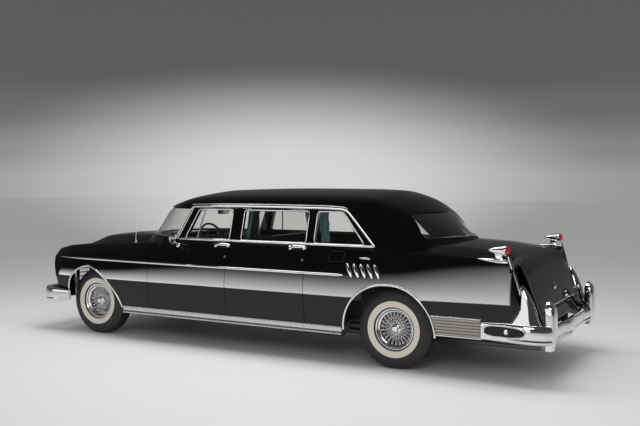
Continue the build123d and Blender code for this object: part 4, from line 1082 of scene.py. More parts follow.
def tyreProfile():
    w = wheelForm
    r = car["tyreRadius"]
    wall = smoothTable(((0.190, 0.074), (0.198, 0.086), (0.212, 0.096), (0.240, 0.1035), (0.276, 0.105),
                        (0.310, 0.1015), (0.340, 0.092), (0.362, 0.080)))
    outer = [(w["bead"] + (0.362 - w["bead"]) * i / 26, wall(w["bead"] + (0.362 - w["bead"]) * i / 26)[0])
             for i in range(27)]
    # the white band stands a little out from the wall
    outer = [(a, b + (0.0015 if w["whiteInner"] < a < w["whiteOuter"] else 0)) for a, b in outer]
    tread = [(0.372, 0.0745), (0.3765, w["treadHalf"])]
    for at in reversed(w["grooves"]):
        tread += [(r - 0.0004, at + 0.0045), (r - w["grooveDepth"], at + 0.003),
                  (r - w["grooveDepth"], at - 0.003),
                  (r - 0.0004, at - 0.0045)]
    tread += [(0.3765, -w["treadHalf"]), (0.372, -0.0745)]
    inner = [(a, -b) for a, b in reversed(outer)]
    return outer + tread + inner


def makeTyre(name, place, sign, body, node):
    w = wheelForm
    profile = tyreProfile()
    count, length = w["segments"], len(profile)
    verts, faces, marks = [], [], []
    for i in range(count):
        angle = 2 * math.pi * i / count
        weave = 0.0016 if i % 2 else -0.0016   # the grooves run in a fine zigzag
        for r, h in profile:
            shift = weave if r > 0.366 and abs(h) < 0.06 else 0
            # blocks on the shoulder
            if 0.366 < r < 0.377 and i % 3 == 0:
                r -= 0.004
            turned = Vector((r * math.cos(angle), (h + shift) * sign, r * math.sin(angle)))
            verts.append(Vector(place) + turned)
    for i in range(count):
        k = (i + 1) % count
        for j in range(length):
            n = (j + 1) % length
            faces.append((i * length + j, i * length + n, k * length + n, k * length + j))
            r, h = profile[j]
            r2 = profile[n][0]
            marks.append(1 if h > 0 and min(r, r2) > w["whiteInner"] and max(r, r2) < w["whiteOuter"] else 0)
    mesh = bpy.data.meshes.new(name)
    mesh.from_pydata([tuple(v) for v in verts], [], faces)
    for polygon, mark in zip(mesh.polygons, marks):
        polygon.material_index = mark
    bm = bmesh.new()
    bm.from_mesh(mesh)
    bmesh.ops.recalc_face_normals(bm, faces=bm.faces)
    bm.to_mesh(mesh)
    bm.free()
    piece = meshObject(name, mesh, [tyreRubber, whiteRubber], body, True)
    sharpByAngle(mesh, 40)
    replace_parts(piece, node)


def makeWireWheel(label, place, sign, body, node):
    w = wheelForm
    axis = (0, sign, 0)
    half, outer = w["rimHalf"], w["rimOuter"]
    rim = [(outer + 0.008, half + 0.004), (outer + 0.006, half + 0.009), (outer, half + 0.0095),
           (outer - 0.006, half + 0.004),
           (outer - 0.008, half - 0.010), (outer - 0.012, half - 0.016), (outer - 0.026, half - 0.022),
           (outer - 0.030, half - 0.034), (outer - 0.030, -half + 0.034), (outer - 0.012, -half + 0.016),
           (outer - 0.006, -half), (outer, -half), (outer - 0.003, -half + 0.016),
           (outer - 0.022, -half + 0.036), (outer - 0.022, half - 0.036), (outer - 0.003, half - 0.014),
           (outer, half)]
    piece = spunPiece(f"rim_{label}", rim, place, axis, chrome, body, 72, closedProfile=True)
    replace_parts(piece, node)
    hub = [(0.027, -0.045), (w["hubRadius"], -0.045), (w["hubRadius"] + 0.004, -0.030),
           (w["hubRadius"] - 0.006, -0.020),
           (w["hubRadius"] - 0.012, 0.020), (w["hubRadius"] - 0.004, 0.034), (w["hubRadius"], 0.046),
           (w["hubRadius"] - 0.004, 0.052), (0.0, 0.052)]
    spunPiece(f"hub_{label}", hub, place, axis, chrome, body, 48)
    cap = [(0.0, 0.050), (0.050, 0.050), (0.052, 0.056), (0.046, 0.062), (0.040, 0.064), (0.036, 0.072),
           (0.026, 0.079), (0.012, 0.082), (0.0, 0.0825)]
    spunPiece(f"hubCap_{label}", cap, place, axis, chrome, body, 48)
    ring = [(0.030, 0.0755), (0.033, 0.0785), (0.036, 0.0755), (0.033, 0.0725)]
    spunPiece(f"hubCapRing_{label}", ring, place, axis, blackTrim, body, 40, closedProfile=True)
    # spokes: crossed pairs in an outer and an inner row, all in one mesh
    verts, faces = [], []
    for row, (rootY, tipY, swing, phase, root) in enumerate((
            (0.044, 0.020, 0.36, 0.0, 0.054), (0.036, 0.006, -0.36, 0.5, 0.052),
            (-0.026, 0.010, 0.30, 0.25, 0.056), (-0.036, -0.004, -0.30, 0.75, 0.056))):
        for i in range(w["spokes"]):
            angle = 2 * math.pi * (i + phase) / w["spokes"]
            start = Vector((root * math.cos(angle), rootY * sign, root * math.sin(angle)))
            tip = outer - 0.028
            end = Vector((tip * math.cos(angle + swing), tipY * sign, tip * math.sin(angle + swing)))
            along = (end - start).normalized()
            one = along.orthogonal().normalized()
            two = along.cross(one)
            for at, thick in ((0.0, 1.3), (0.08, 1.0), (0.86, 1.0), (0.88, 1.9), (1.0, 1.9)):
                centre = Vector(place) + start + (end - start) * at
                for k in range(6):
                    turn = 2 * math.pi * k / 6
                    turned = one * math.cos(turn) + two * math.sin(turn)
                    verts.append(centre + turned * w["spokeRadius"] * thick)
            base = len(verts) - 30
            for a in range(4):
                for k in range(6):
                    n = (k + 1) % 6
                    faces.append((base + a * 6 + k, base + a * 6 + n, base + (a + 1) * 6 + n,
                                  base + (a + 1) * 6 + k))
    solidPiece(f"spokes_{label}", verts, faces, chrome, body)
    drum = [(0.058, -0.074), (0.150, -0.074), (0.150, -0.030), (0.144, -0.024), (0.058, -0.024)]
    spunPiece(f"brakeDrum_{label}", drum, place, axis, darkSteel, body, 48, closedProfile=True)


def makeWheels():
    for end, x, track in (("front", car["frontAxleX"], car["frontTrack"]),
                          ("rear", car["rearAxleX"], car["rearTrack"])):
        for side, sign in sides:
            place = (x, sign * track / 2, car["tyreRadius"])
            body = f"wheel_{end}_{side}"
            makeTyre(f"tyreDressed_{end}_{side}", place, sign, body, f"tyre_{end}_{side}")
            makeWireWheel(f"{end}_{side}", place, sign, body, f"wheel_{end}_{side}")
    print("wheels ready")


makeStrips()
makeSideOrnaments()
makeRibbedPanel()
makeWheels()


# Bumpers

barForm = dict(
    # Half of each bar, from its side end to the middle. Columns: x, y, z, depth, height, heading
    rear=((-2.466, 0.980, 0.463, 0.022, 0.150, 180), (-2.640, 0.972, 0.463, 0.062, 0.168, 182),
          (-2.880, 0.956, 0.458, 0.096, 0.182, 190), (-3.003, 0.893, 0.450, 0.102, 0.178, 232),
          (-3.034, 0.790, 0.438, 0.092, 0.168, 266), (-2.992, 0.600, 0.402, 0.062, 0.150, 280),
          (-2.986, 0.240, 0.395, 0.058, 0.145, 272), (-3.006, 0.0, 0.395, 0.070, 0.160, 270)),
    front=((2.560, 0.972, 0.440, 0.026, 0.110, 0), (2.760, 0.968, 0.432, 0.050, 0.150, -2),
           (2.930, 0.935, 0.425, 0.070, 0.175, -25), (3.020, 0.850, 0.425, 0.076, 0.180, -62),
           (3.040, 0.700, 0.425, 0.080, 0.180, -88), (3.044, 0.0, 0.420, 0.072, 0.150, -90)),
    power=3.2, around=32, along=9, groove=0.10,
    # Columns of the uprights: x, y, z, length, width
    rearTower=((-2.830, 0.908, 0.500, 0.330, 0.172), (-2.836, 0.906, 0.580, 0.240, 0.160),
               (-2.846, 0.902, 0.680, 0.160, 0.130), (-2.836, 0.904, 0.780, 0.090, 0.090),
               (-2.806, 0.910, 0.880, 0.030, 0.042)),
    rearGuard=((-3.028, 0.800, 0.310, 0.070, 0.126), (-3.034, 0.800, 0.450, 0.096, 0.148),
               (-3.032, 0.800, 0.640, 0.092, 0.146), (-3.014, 0.800, 0.745, 0.056, 0.124)),
    frontGuard=((3.000, 0.520, 0.350, 0.090, 0.130), (3.010, 0.520, 0.520, 0.100, 0.130),
                (2.985, 0.520, 0.640, 0.060, 0.080)),
    port=(1.02, 0.86, 0.050), portRing=(0.016, 0.010), bullet=(3.015, 0.520, 0.560),
)


def roundedBlock(width, height, power, count):
    result = []
    for i in range(count):
        angle = 2 * math.pi * (i + 0.5) / count
        c, s = math.cos(angle), math.sin(angle)
        result.append((math.copysign(abs(c) ** (2 / power), c) * width / 2,
                       math.copysign(abs(s) ** (2 / power), s) * height / 2))
    return result


def loftedPiece(name, sections, material, body, sharp=50):
    rows, columns = len(sections), len(sections[0])
    faces = gridFaces(rows, columns, False, True)
    faces += [tuple(range(columns)), tuple(range((rows - 1) * columns, rows * columns))]
    return solidPiece(name, [v for row in sections for v in row], faces, material, body, True, sharp)


def fullBar(half, turn):
    # The left half's stations and their mirror image. turn is the sum of two mirrored headings
    mirrored = [(x, -y, z, depth, height, turn - heading) for x, y, z, depth, height, heading in half[-2::-1]]
    stations = list(half) + mirrored
    return smoothTable([(i,) + tuple(station) for i, station in enumerate(stations)]), len(stations) - 1


def barPlace(row, at, outward):
    # The bar's middle at a station, the way out of its face, and its depth and height there
    x, y, z, depth, height, heading = row(at)
    angle = math.radians(heading)
    return Vector((x, y, z)), Vector((math.sin(angle), -math.cos(angle), 0)) * outward, depth, height


def makeBar(name, half, turn, outward, node):
    f = barForm
    row, last = fullBar(half, turn)
    sections = []
    for i in range(last * f["along"] + 1):
        place, out, depth, height = barPlace(row, i / f["along"], outward)
        ring = []
        for u, v in roundedBlock(depth, height, f["power"], f["around"]):
            low = v / height
            if u > 0 and -0.30 < low < -0.12:
                u -= depth * f["groove"]
            ring.append(place + out * u + Vector((0, 0, v)))
        sections.append(ring)
    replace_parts(loftedPiece(name, sections, chrome, "body", sharp=35), node)
    return row, last


def makeUpright(name, stations, power=3.4, steps=14, swell=1.0):
    row = smoothTable([(z, x, y, length, width) for x, y, z, length, width in stations])
    low, high = stations[0][2], stations[-1][2]
    for side, sign in sides:
        sections = []
        for i in range(steps + 1):
            z = low + (high - low) * i / steps
            x, y, length, width = row(z)
            cap = math.sqrt(max(0.06, 1 - max(0, (i - steps + 2) / 2) ** 2)) if i > steps - 3 else 1
            sections.append([Vector((x + u * cap, (y + v * cap) * sign, z))
                             for u, v in roundedBlock(length * swell, width * swell, power, 24)])
        loftedPiece(f"{name}_{side}", sections, chrome, "body", sharp=45)


def makeBumpers():
    f = barForm
    rearRow, rearLast = makeBar("rearBumperBar", f["rear"], 540, 1, "rear_bumper")
    makeBar("frontBumperBar", f["front"], -180, -1, "front_bumper")
    makeUpright("rearBumperTower", f["rearTower"], 2.6)
    makeUpright("rearBumperGuard", f["rearGuard"], 5.0)
    makeUpright("frontBumperGuard", f["frontGuard"], 3.0)
    middle, reach, tall = f["port"]
    for side, sign in sides:
        ring, outs = [], []
        for i in range(48):
            angle = 2 * math.pi * i / 48
            c, s = math.cos(angle), math.sin(angle)
            at = middle + reach * math.copysign(abs(c) ** 0.8, c)
            place, out, depth, _ = barPlace(rearRow, at if sign > 0 else rearLast - at, 1)
            rise = Vector((0, 0, tall * math.copysign(abs(s) ** 0.6, s) + 0.010))
            ring.append(place + out * (depth / 2 - 0.001) + rise)
            outs.append(out)
        sweptPiece(f"bumperPortRing_{side}", ring, outs, crowned(*f["portRing"]), chrome, "body", closed=True)
        # a dark sheet inside the ring, in upright strips that follow the bar: painted shade standing for the
        # opening
        rows = []
        for i in range(25):
            share = -1 + 2 * i / 24
            at = middle + reach * share
            place, out, depth, _ = barPlace(rearRow, at if sign > 0 else rearLast - at, 1)
            half = tall * max(0.02, (1 - abs(share) ** 2.5)) ** 0.6
            line = [place + out * (depth / 2 + lift) + Vector((0, 0, 0.010 + half * v))
                    for v, lift in ((-1, -0.004), (-1, 0.0025), (0, 0.003), (1, 0.0025), (1, -0.004))]
            rows.append(line)
        loftedPiece(f"bumperPortShade_{side}", rows, blackAndPaintedShade, "body")
        place, out, depth, _ = barPlace(rearRow, 1.25 if sign > 0 else rearLast - 1.25, 1)
        spunPiece(f"bumperPortTip_{side}",
                  [(0.0, 0.030), (0.016, 0.026), (0.026, 0.014), (0.030, 0.0), (0.030, -0.03)],
                  place + out * (depth / 2 - 0.004) + Vector((0, 0, 0.010)), out, chrome, "body", 24)
        # rounded cones on the front bar
        x, y, z = f["bullet"]
        spunPiece(f"bumperCone_{side}", [(0.080, -0.03), (0.080, 0.0), (0.077, 0.012), (0.066, 0.032),
                                         (0.050, 0.050),
                                         (0.030, 0.064), (0.012, 0.071), (0.0, 0.073)],
                  (x, y * sign, z), (1, 0, 0), chrome, "body", 40, sharp=60)
    print("bumpers ready")


# Lamps, trims and fittings

lampForm = dict(
    tail=(-2.676, 0.957, 1.177), lens=0.041, lensDepth=0.036, petals=12,
    bullet=((0.039, -0.004), (0.0455, -0.002), (0.047, 0.004), (0.046, 0.013), (0.041, 0.018), (0.039, 0.030),
            (0.036, 0.060), (0.029, 0.094), (0.018, 0.128), (0.007, 0.154), (0.0, 0.162)),
    post=((1.094, 0.100, 0.026), (1.112, 0.070, 0.018), (1.130, 0.064, 0.016), (1.146, 0.078, 0.022)),
    plateRear=-2.694, plateFront=-2.415, plateWidth=0.050, plateHeight=0.012,
    finStrip=((-2.698, 0.952, 1.126), (-2.728, 0.945, 1.03), (-2.762, 0.932, 0.92), (-2.792, 0.916, 0.80),
              (-2.806, 0.906, 0.72)),
    head=(2.836, 0.745, 0.800), headRadius=0.098,
)


def makeTailLamps():
    f = lampForm
    x, y, z = f["tail"]
    for side, sign in sides:
        place = Vector((x, y * sign, z))
        piece = spunPiece(f"tailLampBullet_{side}", list(f["bullet"]), place, (1, 0, 0), chrome, "body", 40,
                          sharp=30)
        # a lens with a ring of petals around a raised middle
        rings = ((0.0, 1.0), (0.20, 0.98), (0.26, 0.84), (0.50, 0.86), (0.71, 0.70),
                 (0.87, 0.49), (0.97, 0.24), (1.0, 0.0), (1.0, -0.4))
        count, verts = f["petals"] * 6, []
        for share, lift in rings:
            for i in range(count):
                angle = 2 * math.pi * i / count
                petal = 0.5 + 0.5 * math.cos(f["petals"] * angle)
                out = lift + (0.12 * (petal - 0.5) if 0.22 < share < 0.95 else 0)
                verts.append(place + Vector((-f["lensDepth"] * out,
                                             f["lens"] * max(share, 0.01) * math.cos(angle),
                                             f["lens"] * max(share, 0.01) * math.sin(angle))))
        faces = gridFaces(len(rings), count, False, True)
        faces += [tuple(range(count)), tuple(range((len(rings) - 1) * count, len(rings) * count))]
        lens = solidPiece(f"tailLampLens_{side}", verts, faces, redLens, "body", True, 30)
        if sign > 0:
            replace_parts(piece, "tail_lamps")
            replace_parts(lens, "tail_lenses")
        sections = [[Vector((x + 0.062 + u, y * sign + v, level))
                     for u, v in roundedBlock(length, width, 2.4, 20)] for level, length, width in f["post"]]
        loftedPiece(f"tailLampPost_{side}", sections, chrome, "body")
        line, normals, sizes = [], [], []
        for i in range(25):
            share = i / 24
            at = f["plateFront"] + (f["plateRear"] - f["plateFront"]) * share
            crest = max(p[1] for p in bodySection(at) if p[0] > 0.7) - 0.012
            edgeY, normal = sideAt(at, crest)
            line.append(Vector((at, (edgeY - 0.006) * sign, crest + 0.004)))
            normals.append(Vector((0, (normal.y + 0.3) * sign, normal.z + 1)))
            wide = max(0.04, math.sin(math.pi * min(0.5, 0.02 + share * 0.75)) * (1 if share < 0.9 else 0.8))
            sizes.append((wide, 0.4 + 0.6 * wide))
        sweptPiece(f"tailLampPlate_{side}", line, normals, crowned(f["plateWidth"], f["plateHeight"]),
                   chrome, "body",
                   sizes=sizes)
        strip = spread([(px, py * sign, pz) for px, py, pz in f["finStrip"]], 0.03)
        sweptPiece(f"finStrip_{side}", strip, [Vector((-1, 0.45 * sign, 0.2))] * len(strip),
                   crowned(0.026, 0.012),
                   chrome, "body")
    print("tail lamps ready")


def makeHeadlamps():
    f = lampForm
    x, y, z = f["head"]
    r = f["headRadius"]
    for side, sign in sides:
        place = (x, y * sign, z)
        spunPiece(f"headlampRing_{side}",
                  [(r * 0.86, 0.020), (r * 0.90, 0.036), (r * 0.98, 0.040), (r * 1.06, 0.028),
                                           (r * 1.10, 0.004), (r * 1.10, -0.05), (r * 0.86, -0.05)],
                  place, (1, 0, 0), chrome, "body", 48, closedProfile=True)
        spunPiece(f"headlampBowl_{side}",
                  [(0.0, -0.034), (r * 0.4, -0.026), (r * 0.75, 0.0), (r * 0.87, 0.022),
                   (r * 0.88, 0.018), (r * 0.76, -0.008), (r * 0.4, -0.034), (0.0, -0.042)],
                  place, (1, 0, 0), satinChrome, "body", 48)
        glass = spunPiece(f"headlampGlass_{side}",
                          [(0.0, 0.044), (r * 0.4, 0.041), (r * 0.7, 0.034), (r * 0.87, 0.024),
                           (r * 0.87, 0.020), (r * 0.7, 0.030), (r * 0.4, 0.037), (0.0, 0.040)],
                          place, (1, 0, 0), clearLens, "body", 48)
        if sign > 0:
            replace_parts(glass, "headlamps")
        # round parking lamps below the headlamps
        spunPiece(f"parkingLamp_{side}", [(0.0, 0.020), (0.024, 0.017), (0.036, 0.008), (0.040, 0.0),
                                          (0.047, 0.004),
                                          (0.052, -0.006), (0.052, -0.05)],
                  (x - 0.012, (y + 0.02) * sign, z - 0.205), (1, 0, 0), chrome, "body", 32)
    print("headlamps ready")


houseTree = BVHTree.FromBMesh(formMesh(houseSection, -2.174, 1.878, 0.025, False))


def houseFrom(origin, aim):
    # Where a line of sight meets the house, and its normal there
    place, normal, _, _ = houseTree.ray_cast(Vector(origin), Vector(aim).normalized())
    if place is None:
        return None
    return place, normal if normal.dot(Vector(aim)) < 0 else -normal


trimForm = dict(
    backGrow=0.006, backSize=(0.018, 0.008), step=0.03,
    # Columns: name, height, width and height of the strip
    shield=(("windshieldTrimTop", 1.480, (0.016, 0.007)), ("windshieldTrimLow", 1.172, (0.020, 0.008))),
    shieldCentre=0.55, shieldAngle=76, shieldLean=0.51, shieldRear=0.90, shieldTop=1.48,
    # Columns: side, where its wiper turns
    wipers=(("left", 0.36), ("right", -0.20)), wiperLow=1.185, wiperRise=0.16, wiperReach=0.28,
    wiperLift=0.016,
    wiperHub=((0.0, 0.022), (0.010, 0.020), (0.016, 0.010), (0.018, -0.02)),
)


def makeGlassTrims():
    f = trimForm
    # around the rear window
    line, normals = [], []
    loop = backlightOutline(f["backGrow"])
    for y, z in spread(loop + loop[:1], f["step"])[:-1]:
        found = houseFrom((-4, y, z), (1, 0, 0))
        if found:
            line.append(found[0])
            normals.append(found[1])
    sweptPiece("backlightTrim", line, normals, crowned(*f["backSize"]), chrome, "body", closed=True)
    # over and under the windshield
    for name, z, size in f["shield"]:
        line, normals = [], []
        for i in range(61):
            angle = math.radians(f["shieldAngle"] * (-1 + i / 30))
            aim = Vector((-math.cos(angle), -math.sin(angle), 0))
            found = houseFrom(Vector((f["shieldCentre"], 0, z)) - aim * 3, aim)
            if found and found[0].x > f["shieldRear"] + (f["shieldTop"] - z) * f["shieldLean"]:
                line.append(found[0])
                normals.append(found[1])
        sweptPiece(name, line, normals, crowned(*size), chrome, "body")
    # wipers
    for side, y in f["wipers"]:
        line, normals = [], []
        for i in range(13):
            share = i / 12
            z = f["wiperLow"] + f["wiperRise"] * share ** 0.9
            found = houseFrom((4, y - f["wiperReach"] * share, z), (-1, 0, 0))
            if found:
                line.append(found[0] + found[1] * f["wiperLift"] * (1 - 0.75 * share))
                normals.append(found[1])
        sweptPiece(f"wiperBlade_{side}", line[4:], normals[4:], crowned(0.008, 0.010), blackTrim, "body")
        sweptPiece(f"wiperArm_{side}", [p + n * 0.008 for p, n in zip(line[:9], normals)], normals[:9],
                   crowned(0.010, 0.005), chrome, "body")
        spunPiece(f"wiperHub_{side}", list(f["wiperHub"]), line[0], normals[0], chrome, "body", 20)
    print("glass trims ready")


fittingForm = dict(
    handles=(("front", 0.494, 0.296, 1.100), ("rear", -0.434, -0.635, 1.108)),
    locks=((0.334, 0.991), (-0.610, 0.999)),
    mirrorX=1.000, mirrorHead=(1.004, 0.985, 1.166), mirrorRadius=0.062, antenna=(1.686, 0.800, 1.290),
    lidPullZ=0.78, lidPull=0.034, lidStripZ=0.632, lidStripReach=0.62, lidStripSize=(0.018, 0.008),
    handleRise=0.034, handleRod=0.011, handleFeet=((-0.012, 0.022), (0.028, 0.017)),
    lock=((0.0, 0.005), (0.004, 0.007), (0.012, 0.006), (0.015, 0.001), (0.015, -0.003)),
    mirrorFootZ=1.085, mirrorStalk=0.007, mirrorTurn=0.12,
)


def makeHandles():
    f = fittingForm
    for name, xFront, xRear, z in f["handles"]:
        for side, sign in sides:
            body = f"door_{name}_{side}"
            surface = lambda x: (lambda found: (Vector((x, found[0] * sign, z)),
                                                Vector((found[1].x, found[1].y * sign, found[1].z)))
                                 )(sideAt(x, z))
            line, normals, sizes = [], [], []
            for i in range(21):
                share = i / 20
                place, normal = surface(xFront + (xRear - xFront) * share)
                rise = f["handleRise"] * math.sin(math.pi * min(0.5, share * 1.6))
                rise -= max(0, share - 0.9) * 0.2
                line.append(place + normal * (rise - 0.004))
                normals.append(normal)
                sizes.append((0.75 + 0.35 * math.sin(math.pi * share),) * 2)
            sweptPiece(f"doorHandle_{name}_{side}", line, normals,
                       [(u * 1.35, v) for u, v in roundRod(f["handleRod"], 12)],
                       chrome, body, sizes=sizes)
            for end, (start, (shift, radius)) in enumerate(zip((xRear, xFront), reversed(f["handleFeet"]))):
                place, normal = surface(start + shift)
                spunPiece(f"handleFoot_{name}_{side}_{end}",
                          [(0.0, 0.026), (radius * 0.5, 0.024), (radius * 0.6, 0.012), (radius, 0.004),
                           (radius, -0.003)],
                          place, normal, chrome, body, 24)
    for (x, z), name in zip(f["locks"], ("front", "rear")):
        for side, sign in sides:
            y, normal = sideAt(x, z)
            spunPiece(f"doorLock_{name}_{side}", list(f["lock"]), (x, y * sign, z),
                      (normal.x, normal.y * sign, normal.z), chrome, f"door_{name}_{side}", 20)
    print("handles ready")


def makeFittings():
    f = fittingForm
    # round mirror on a curved stalk, on the left front door only
    x, z = f["mirrorX"], f["mirrorFootZ"]
    y, normal = sideAt(x, z)
    foot = Vector((x, y, z))
    spunPiece("mirrorFoot", [(0.0, 0.010), (0.016, 0.009), (0.026, 0.004), (0.030, -0.003)], foot, normal,
              chrome, "door_front_left", 28)
    head = Vector(f["mirrorHead"])
    line = [tuple(p) for p in spread([foot, foot + normal * 0.03 + Vector((0, 0, 0.012)),
                                      (head.x, head.y, head.z - 0.06),
                                      tuple(head - Vector((0, 0, 0.035)))], 0.01)]
    sweptPiece("mirrorStalk", line, [Vector((1, 0, 0.1))] * len(line), roundRod(f["mirrorStalk"]), chrome,
               "door_front_left")
    r = f["mirrorRadius"]
    back = [(0.0, 0.024), (r * 0.35, 0.022), (r * 0.7, 0.014), (r * 0.92, 0.004), (r, -0.004), (r, -0.009),
            (r * 0.96, -0.010), (r * 0.94, -0.006)]
    spunPiece("mirrorHead", back, head, (1, f["mirrorTurn"], 0), chrome, "door_front_left", 40)
    spunPiece("mirrorPane", [(0.0, -0.0065), (r * 0.94, -0.0065), (r * 0.95, -0.004), (0.0, -0.004)], head,
              (1, f["mirrorTurn"], 0), satinChrome, "door_front_left", 40)
    # antenna mast on the left fender
    ax, ay, top = f["antenna"]
    base = topAt(ax, ay)[0]
    spunPiece("antenna", [(0.020, -0.004), (0.020, 0.004), (0.012, 0.016), (0.007, 0.026), (0.0045, 0.03),
                          (0.004, 0.10), (0.003, 0.101), (0.0025, top - base - 0.008),
                          (0.004, top - base - 0.006), (0.0, top - base)],
              (ax, ay, base), (-0.08, 0, 1), chrome, "body", 14)
    # strip along the lid's lower edge, and the pull in its middle
    lid = bpy.data.objects["deckLidSkin"].data
    tree = BVHTree.FromPolygons([v.co for v in lid.vertices], [p.vertices for p in lid.polygons])
    line, normals = [], []
    for i in range(41):
        y = f["lidStripReach"] * (-1 + i / 20)
        place, normal, _, _ = tree.ray_cast(Vector((-4, y, f["lidStripZ"])), Vector((1, 0, 0)))
        if place:
            line.append(place)
            normals.append(normal if normal.x < 0 else -normal)
    if len(line) > 10:
        sizes = [(min(1, 0.3 + 4 * (1 - abs(i / (len(line) - 1) * 2 - 1))),) * 2 for i in range(len(line))]
        sweptPiece("lidStrip", line, normals, crowned(*f["lidStripSize"]), chrome, "deck_lid", sizes=sizes)
    place, normal, _, _ = tree.ray_cast(Vector((-4, 0, f["lidPullZ"])), Vector((1, 0, 0)))
    normal = normal if normal.x < 0 else -normal
    size = f["lidPull"]
    spunPiece("lidPull", [(0.0, 0.020), (size * 0.4, 0.018), (size * 0.75, 0.010), (size, 0.002),
                          (size, -0.004)],
              place, normal, chrome, "deck_lid", 32)
    print("fittings ready")


makeBumpers()
makeTailLamps()
makeHeadlamps()
makeGlassTrims()
makeHandles()
makeFittings()


# Cabin

seatForm = dict(
    lean=dict(front=0.060, rear=0.050), cushionTop=dict(front=0.720, rear=0.740), backDepth=0.100,
    cushionDepth=0.200,
    shrink=0.016, voxel=0.018, pressure=4.0, cap=0.022, pitch=0.118, channel=0.010, channelWidth=0.011,
    overlap=0.060, sideGap=0.004, backDrop=0.13, backSwell=0.03, rise=0.008, fill=0.75, steps=20, welt=0.0055,
    weltIn=0.06, seamIn=0.10,
)


def padPiece(name, low, high, lean, material, power=5.0, cuts=14):
    # A rounded block, its top moved back by the lean
    bm = bmesh.new()
    bmesh.ops.create_cube(bm, size=2)
    bmesh.ops.subdivide_edges(bm, edges=bm.edges[:], cuts=cuts, use_grid_fill=True)
    middle = [(a + b) / 2 for a, b in zip(low, high)]
    half = [(b - a) / 2 - seatForm["shrink"] for a, b in zip(low, high)]
    for v in bm.verts:
        size = sum(abs(c) ** power for c in v.co) ** (1 / power)
        shape = v.co / size
        v.co = Vector([m + c * h for m, c, h in zip(middle, shape, half)])
        v.co.x -= lean * (shape.z + 1) / 2 - lean / 2
    return bmeshPiece(name, bm, material, "body", True)


def settled(piece):
    # The mesh as its modifiers leave it
    bpy.context.view_layer.update()
    graph = bpy.context.evaluated_depsgraph_get()
    mesh = bpy.data.meshes.new_from_object(piece.evaluated_get(graph))
    piece.modifiers.clear()
    piece.data = mesh
    return mesh


def inflate(piece):
    f = seatForm
    addModifier(piece, "REMESH", mode="VOXEL", voxel_size=f["voxel"])
    settled(piece)
    start = [v.co.copy() for v in piece.data.vertices]
    cloth = addModifier(piece, "CLOTH")
    cloth.settings.quality = 4
    cloth.settings.use_pressure = True
    cloth.settings.uniform_pressure_force = f["pressure"]
    cloth.settings.effector_weights.gravity = 0.0
    cloth.collision_settings.use_collision = False
    cloth.point_cache.frame_start, cloth.point_cache.frame_end = 1, f["steps"]
    for step in range(1, f["steps"] + 1):
        bpy.context.scene.frame_set(step)
    settled(piece)
    bpy.context.scene.frame_set(1)
    for v, before in zip(piece.data.vertices, start):
        move = v.co - before
        if move.length > f["cap"]:
            v.co = before + move.normalized() * f["cap"]
    addModifier(piece, "SUBSURF", levels=1, render_levels=1)
    settled(piece)


def sewChannels(piece, facing, reach):
    # Seams from front to back, pressed into the side that carries the sitter
    f = seatForm
    mesh = piece.data
    for v in mesh.vertices:
        seam = abs(v.co.y / f["pitch"] - round(v.co.y / f["pitch"])) * f["pitch"]
        share = max(0.0, v.normal.dot(facing) - 0.2) / 0.8
        if abs(v.co.y) < reach:
            depth = f["channel"] * math.exp(-(seam / f["channelWidth"]) ** 2)
            v.co = v.co - v.normal * depth * min(1, share * 1.6)
    mesh.update()
    for polygon in mesh.polygons:
        polygon.use_smooth = True


def weltAround(name, piece, loop, material):
    tree = BVHTree.FromPolygons([v.co for v in piece.data.vertices],
                                [p.vertices for p in piece.data.polygons])
    line, normals = [], []
    for point in spread(loop + loop[:1], 0.025)[:-1]:
        place, normal, _, _ = tree.find_nearest(Vector(point))
        line.append(place + normal * 0.001)
        normals.append(normal)
    sweptPiece(name, line, normals, roundRod(seatForm["welt"], 8), material, "body",
               closed=True, sharp=None)


def makeSeats():
    f = seatForm
    for name, node, material in (("front", "front_seat", seatCloth), ("rear", "rear_seat", rearSeatCloth)):
        low, high = [Vector(c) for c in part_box(node)]
        lean, top = f["lean"][name], f["cushionTop"][name]
        gap = f["sideGap"]
        cushion = padPiece(f"{name}SeatCushion",
                           (low.x + lean + f["overlap"], low.y + gap, top - f["cushionDepth"]),
                           (high.x, high.y - gap, top + f["rise"]), 0.0, material)
        back = padPiece(f"{name}SeatBack", (low.x + lean / 2, low.y + gap, top - f["backDrop"]),
                        (low.x + lean / 2 + f["backDepth"] + f["backSwell"], high.y - gap, high.z), lean,
                        material)
        for piece, facing in ((cushion, Vector((0, 0, 1))), (back, Vector((1, 0, 0.2)).normalized())):
            inflate(piece)
            sewChannels(piece, facing, high.y - f["seamIn"])
        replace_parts(cushion, node)
        y = high.y - f["weltIn"]
        weltAround(f"{name}SeatCushionWelt", cushion, [(high.x, -y, top - 0.02), (high.x, y, top - 0.02),
                                                       (low.x + lean + 0.16, y, top + 0.03),
                                                       (low.x + lean + 0.16, -y, top + 0.03)], leatherTrim)
        weltAround(f"{name}SeatBackWelt", back,
                   [(low.x + lean + 0.14, -y, top + 0.05), (low.x + lean + 0.14, y, top + 0.05),
                    (low.x + 0.10, y, high.z + 0.02), (low.x + 0.10, -y, high.z + 0.02)], leatherTrim)
        # the plinth under the cushion
        rows = []
        for z, pull in ((low.z + 0.002, 0.05), (low.z + 0.05, 0.035), (top - f["cushionDepth"] + 0.03, 0.02)):
            rows.append([Vector(((low.x + lean + high.x + 0.10) / 2 + u, v, z)) for u, v in
                         roundedBlock(high.x - low.x - lean - 0.12 - pull, high.y * 2 - 0.08 - pull, 9, 32)])
        loftedPiece(f"{name}SeatPlinth", rows, carpet, "body")
    print("seats ready")


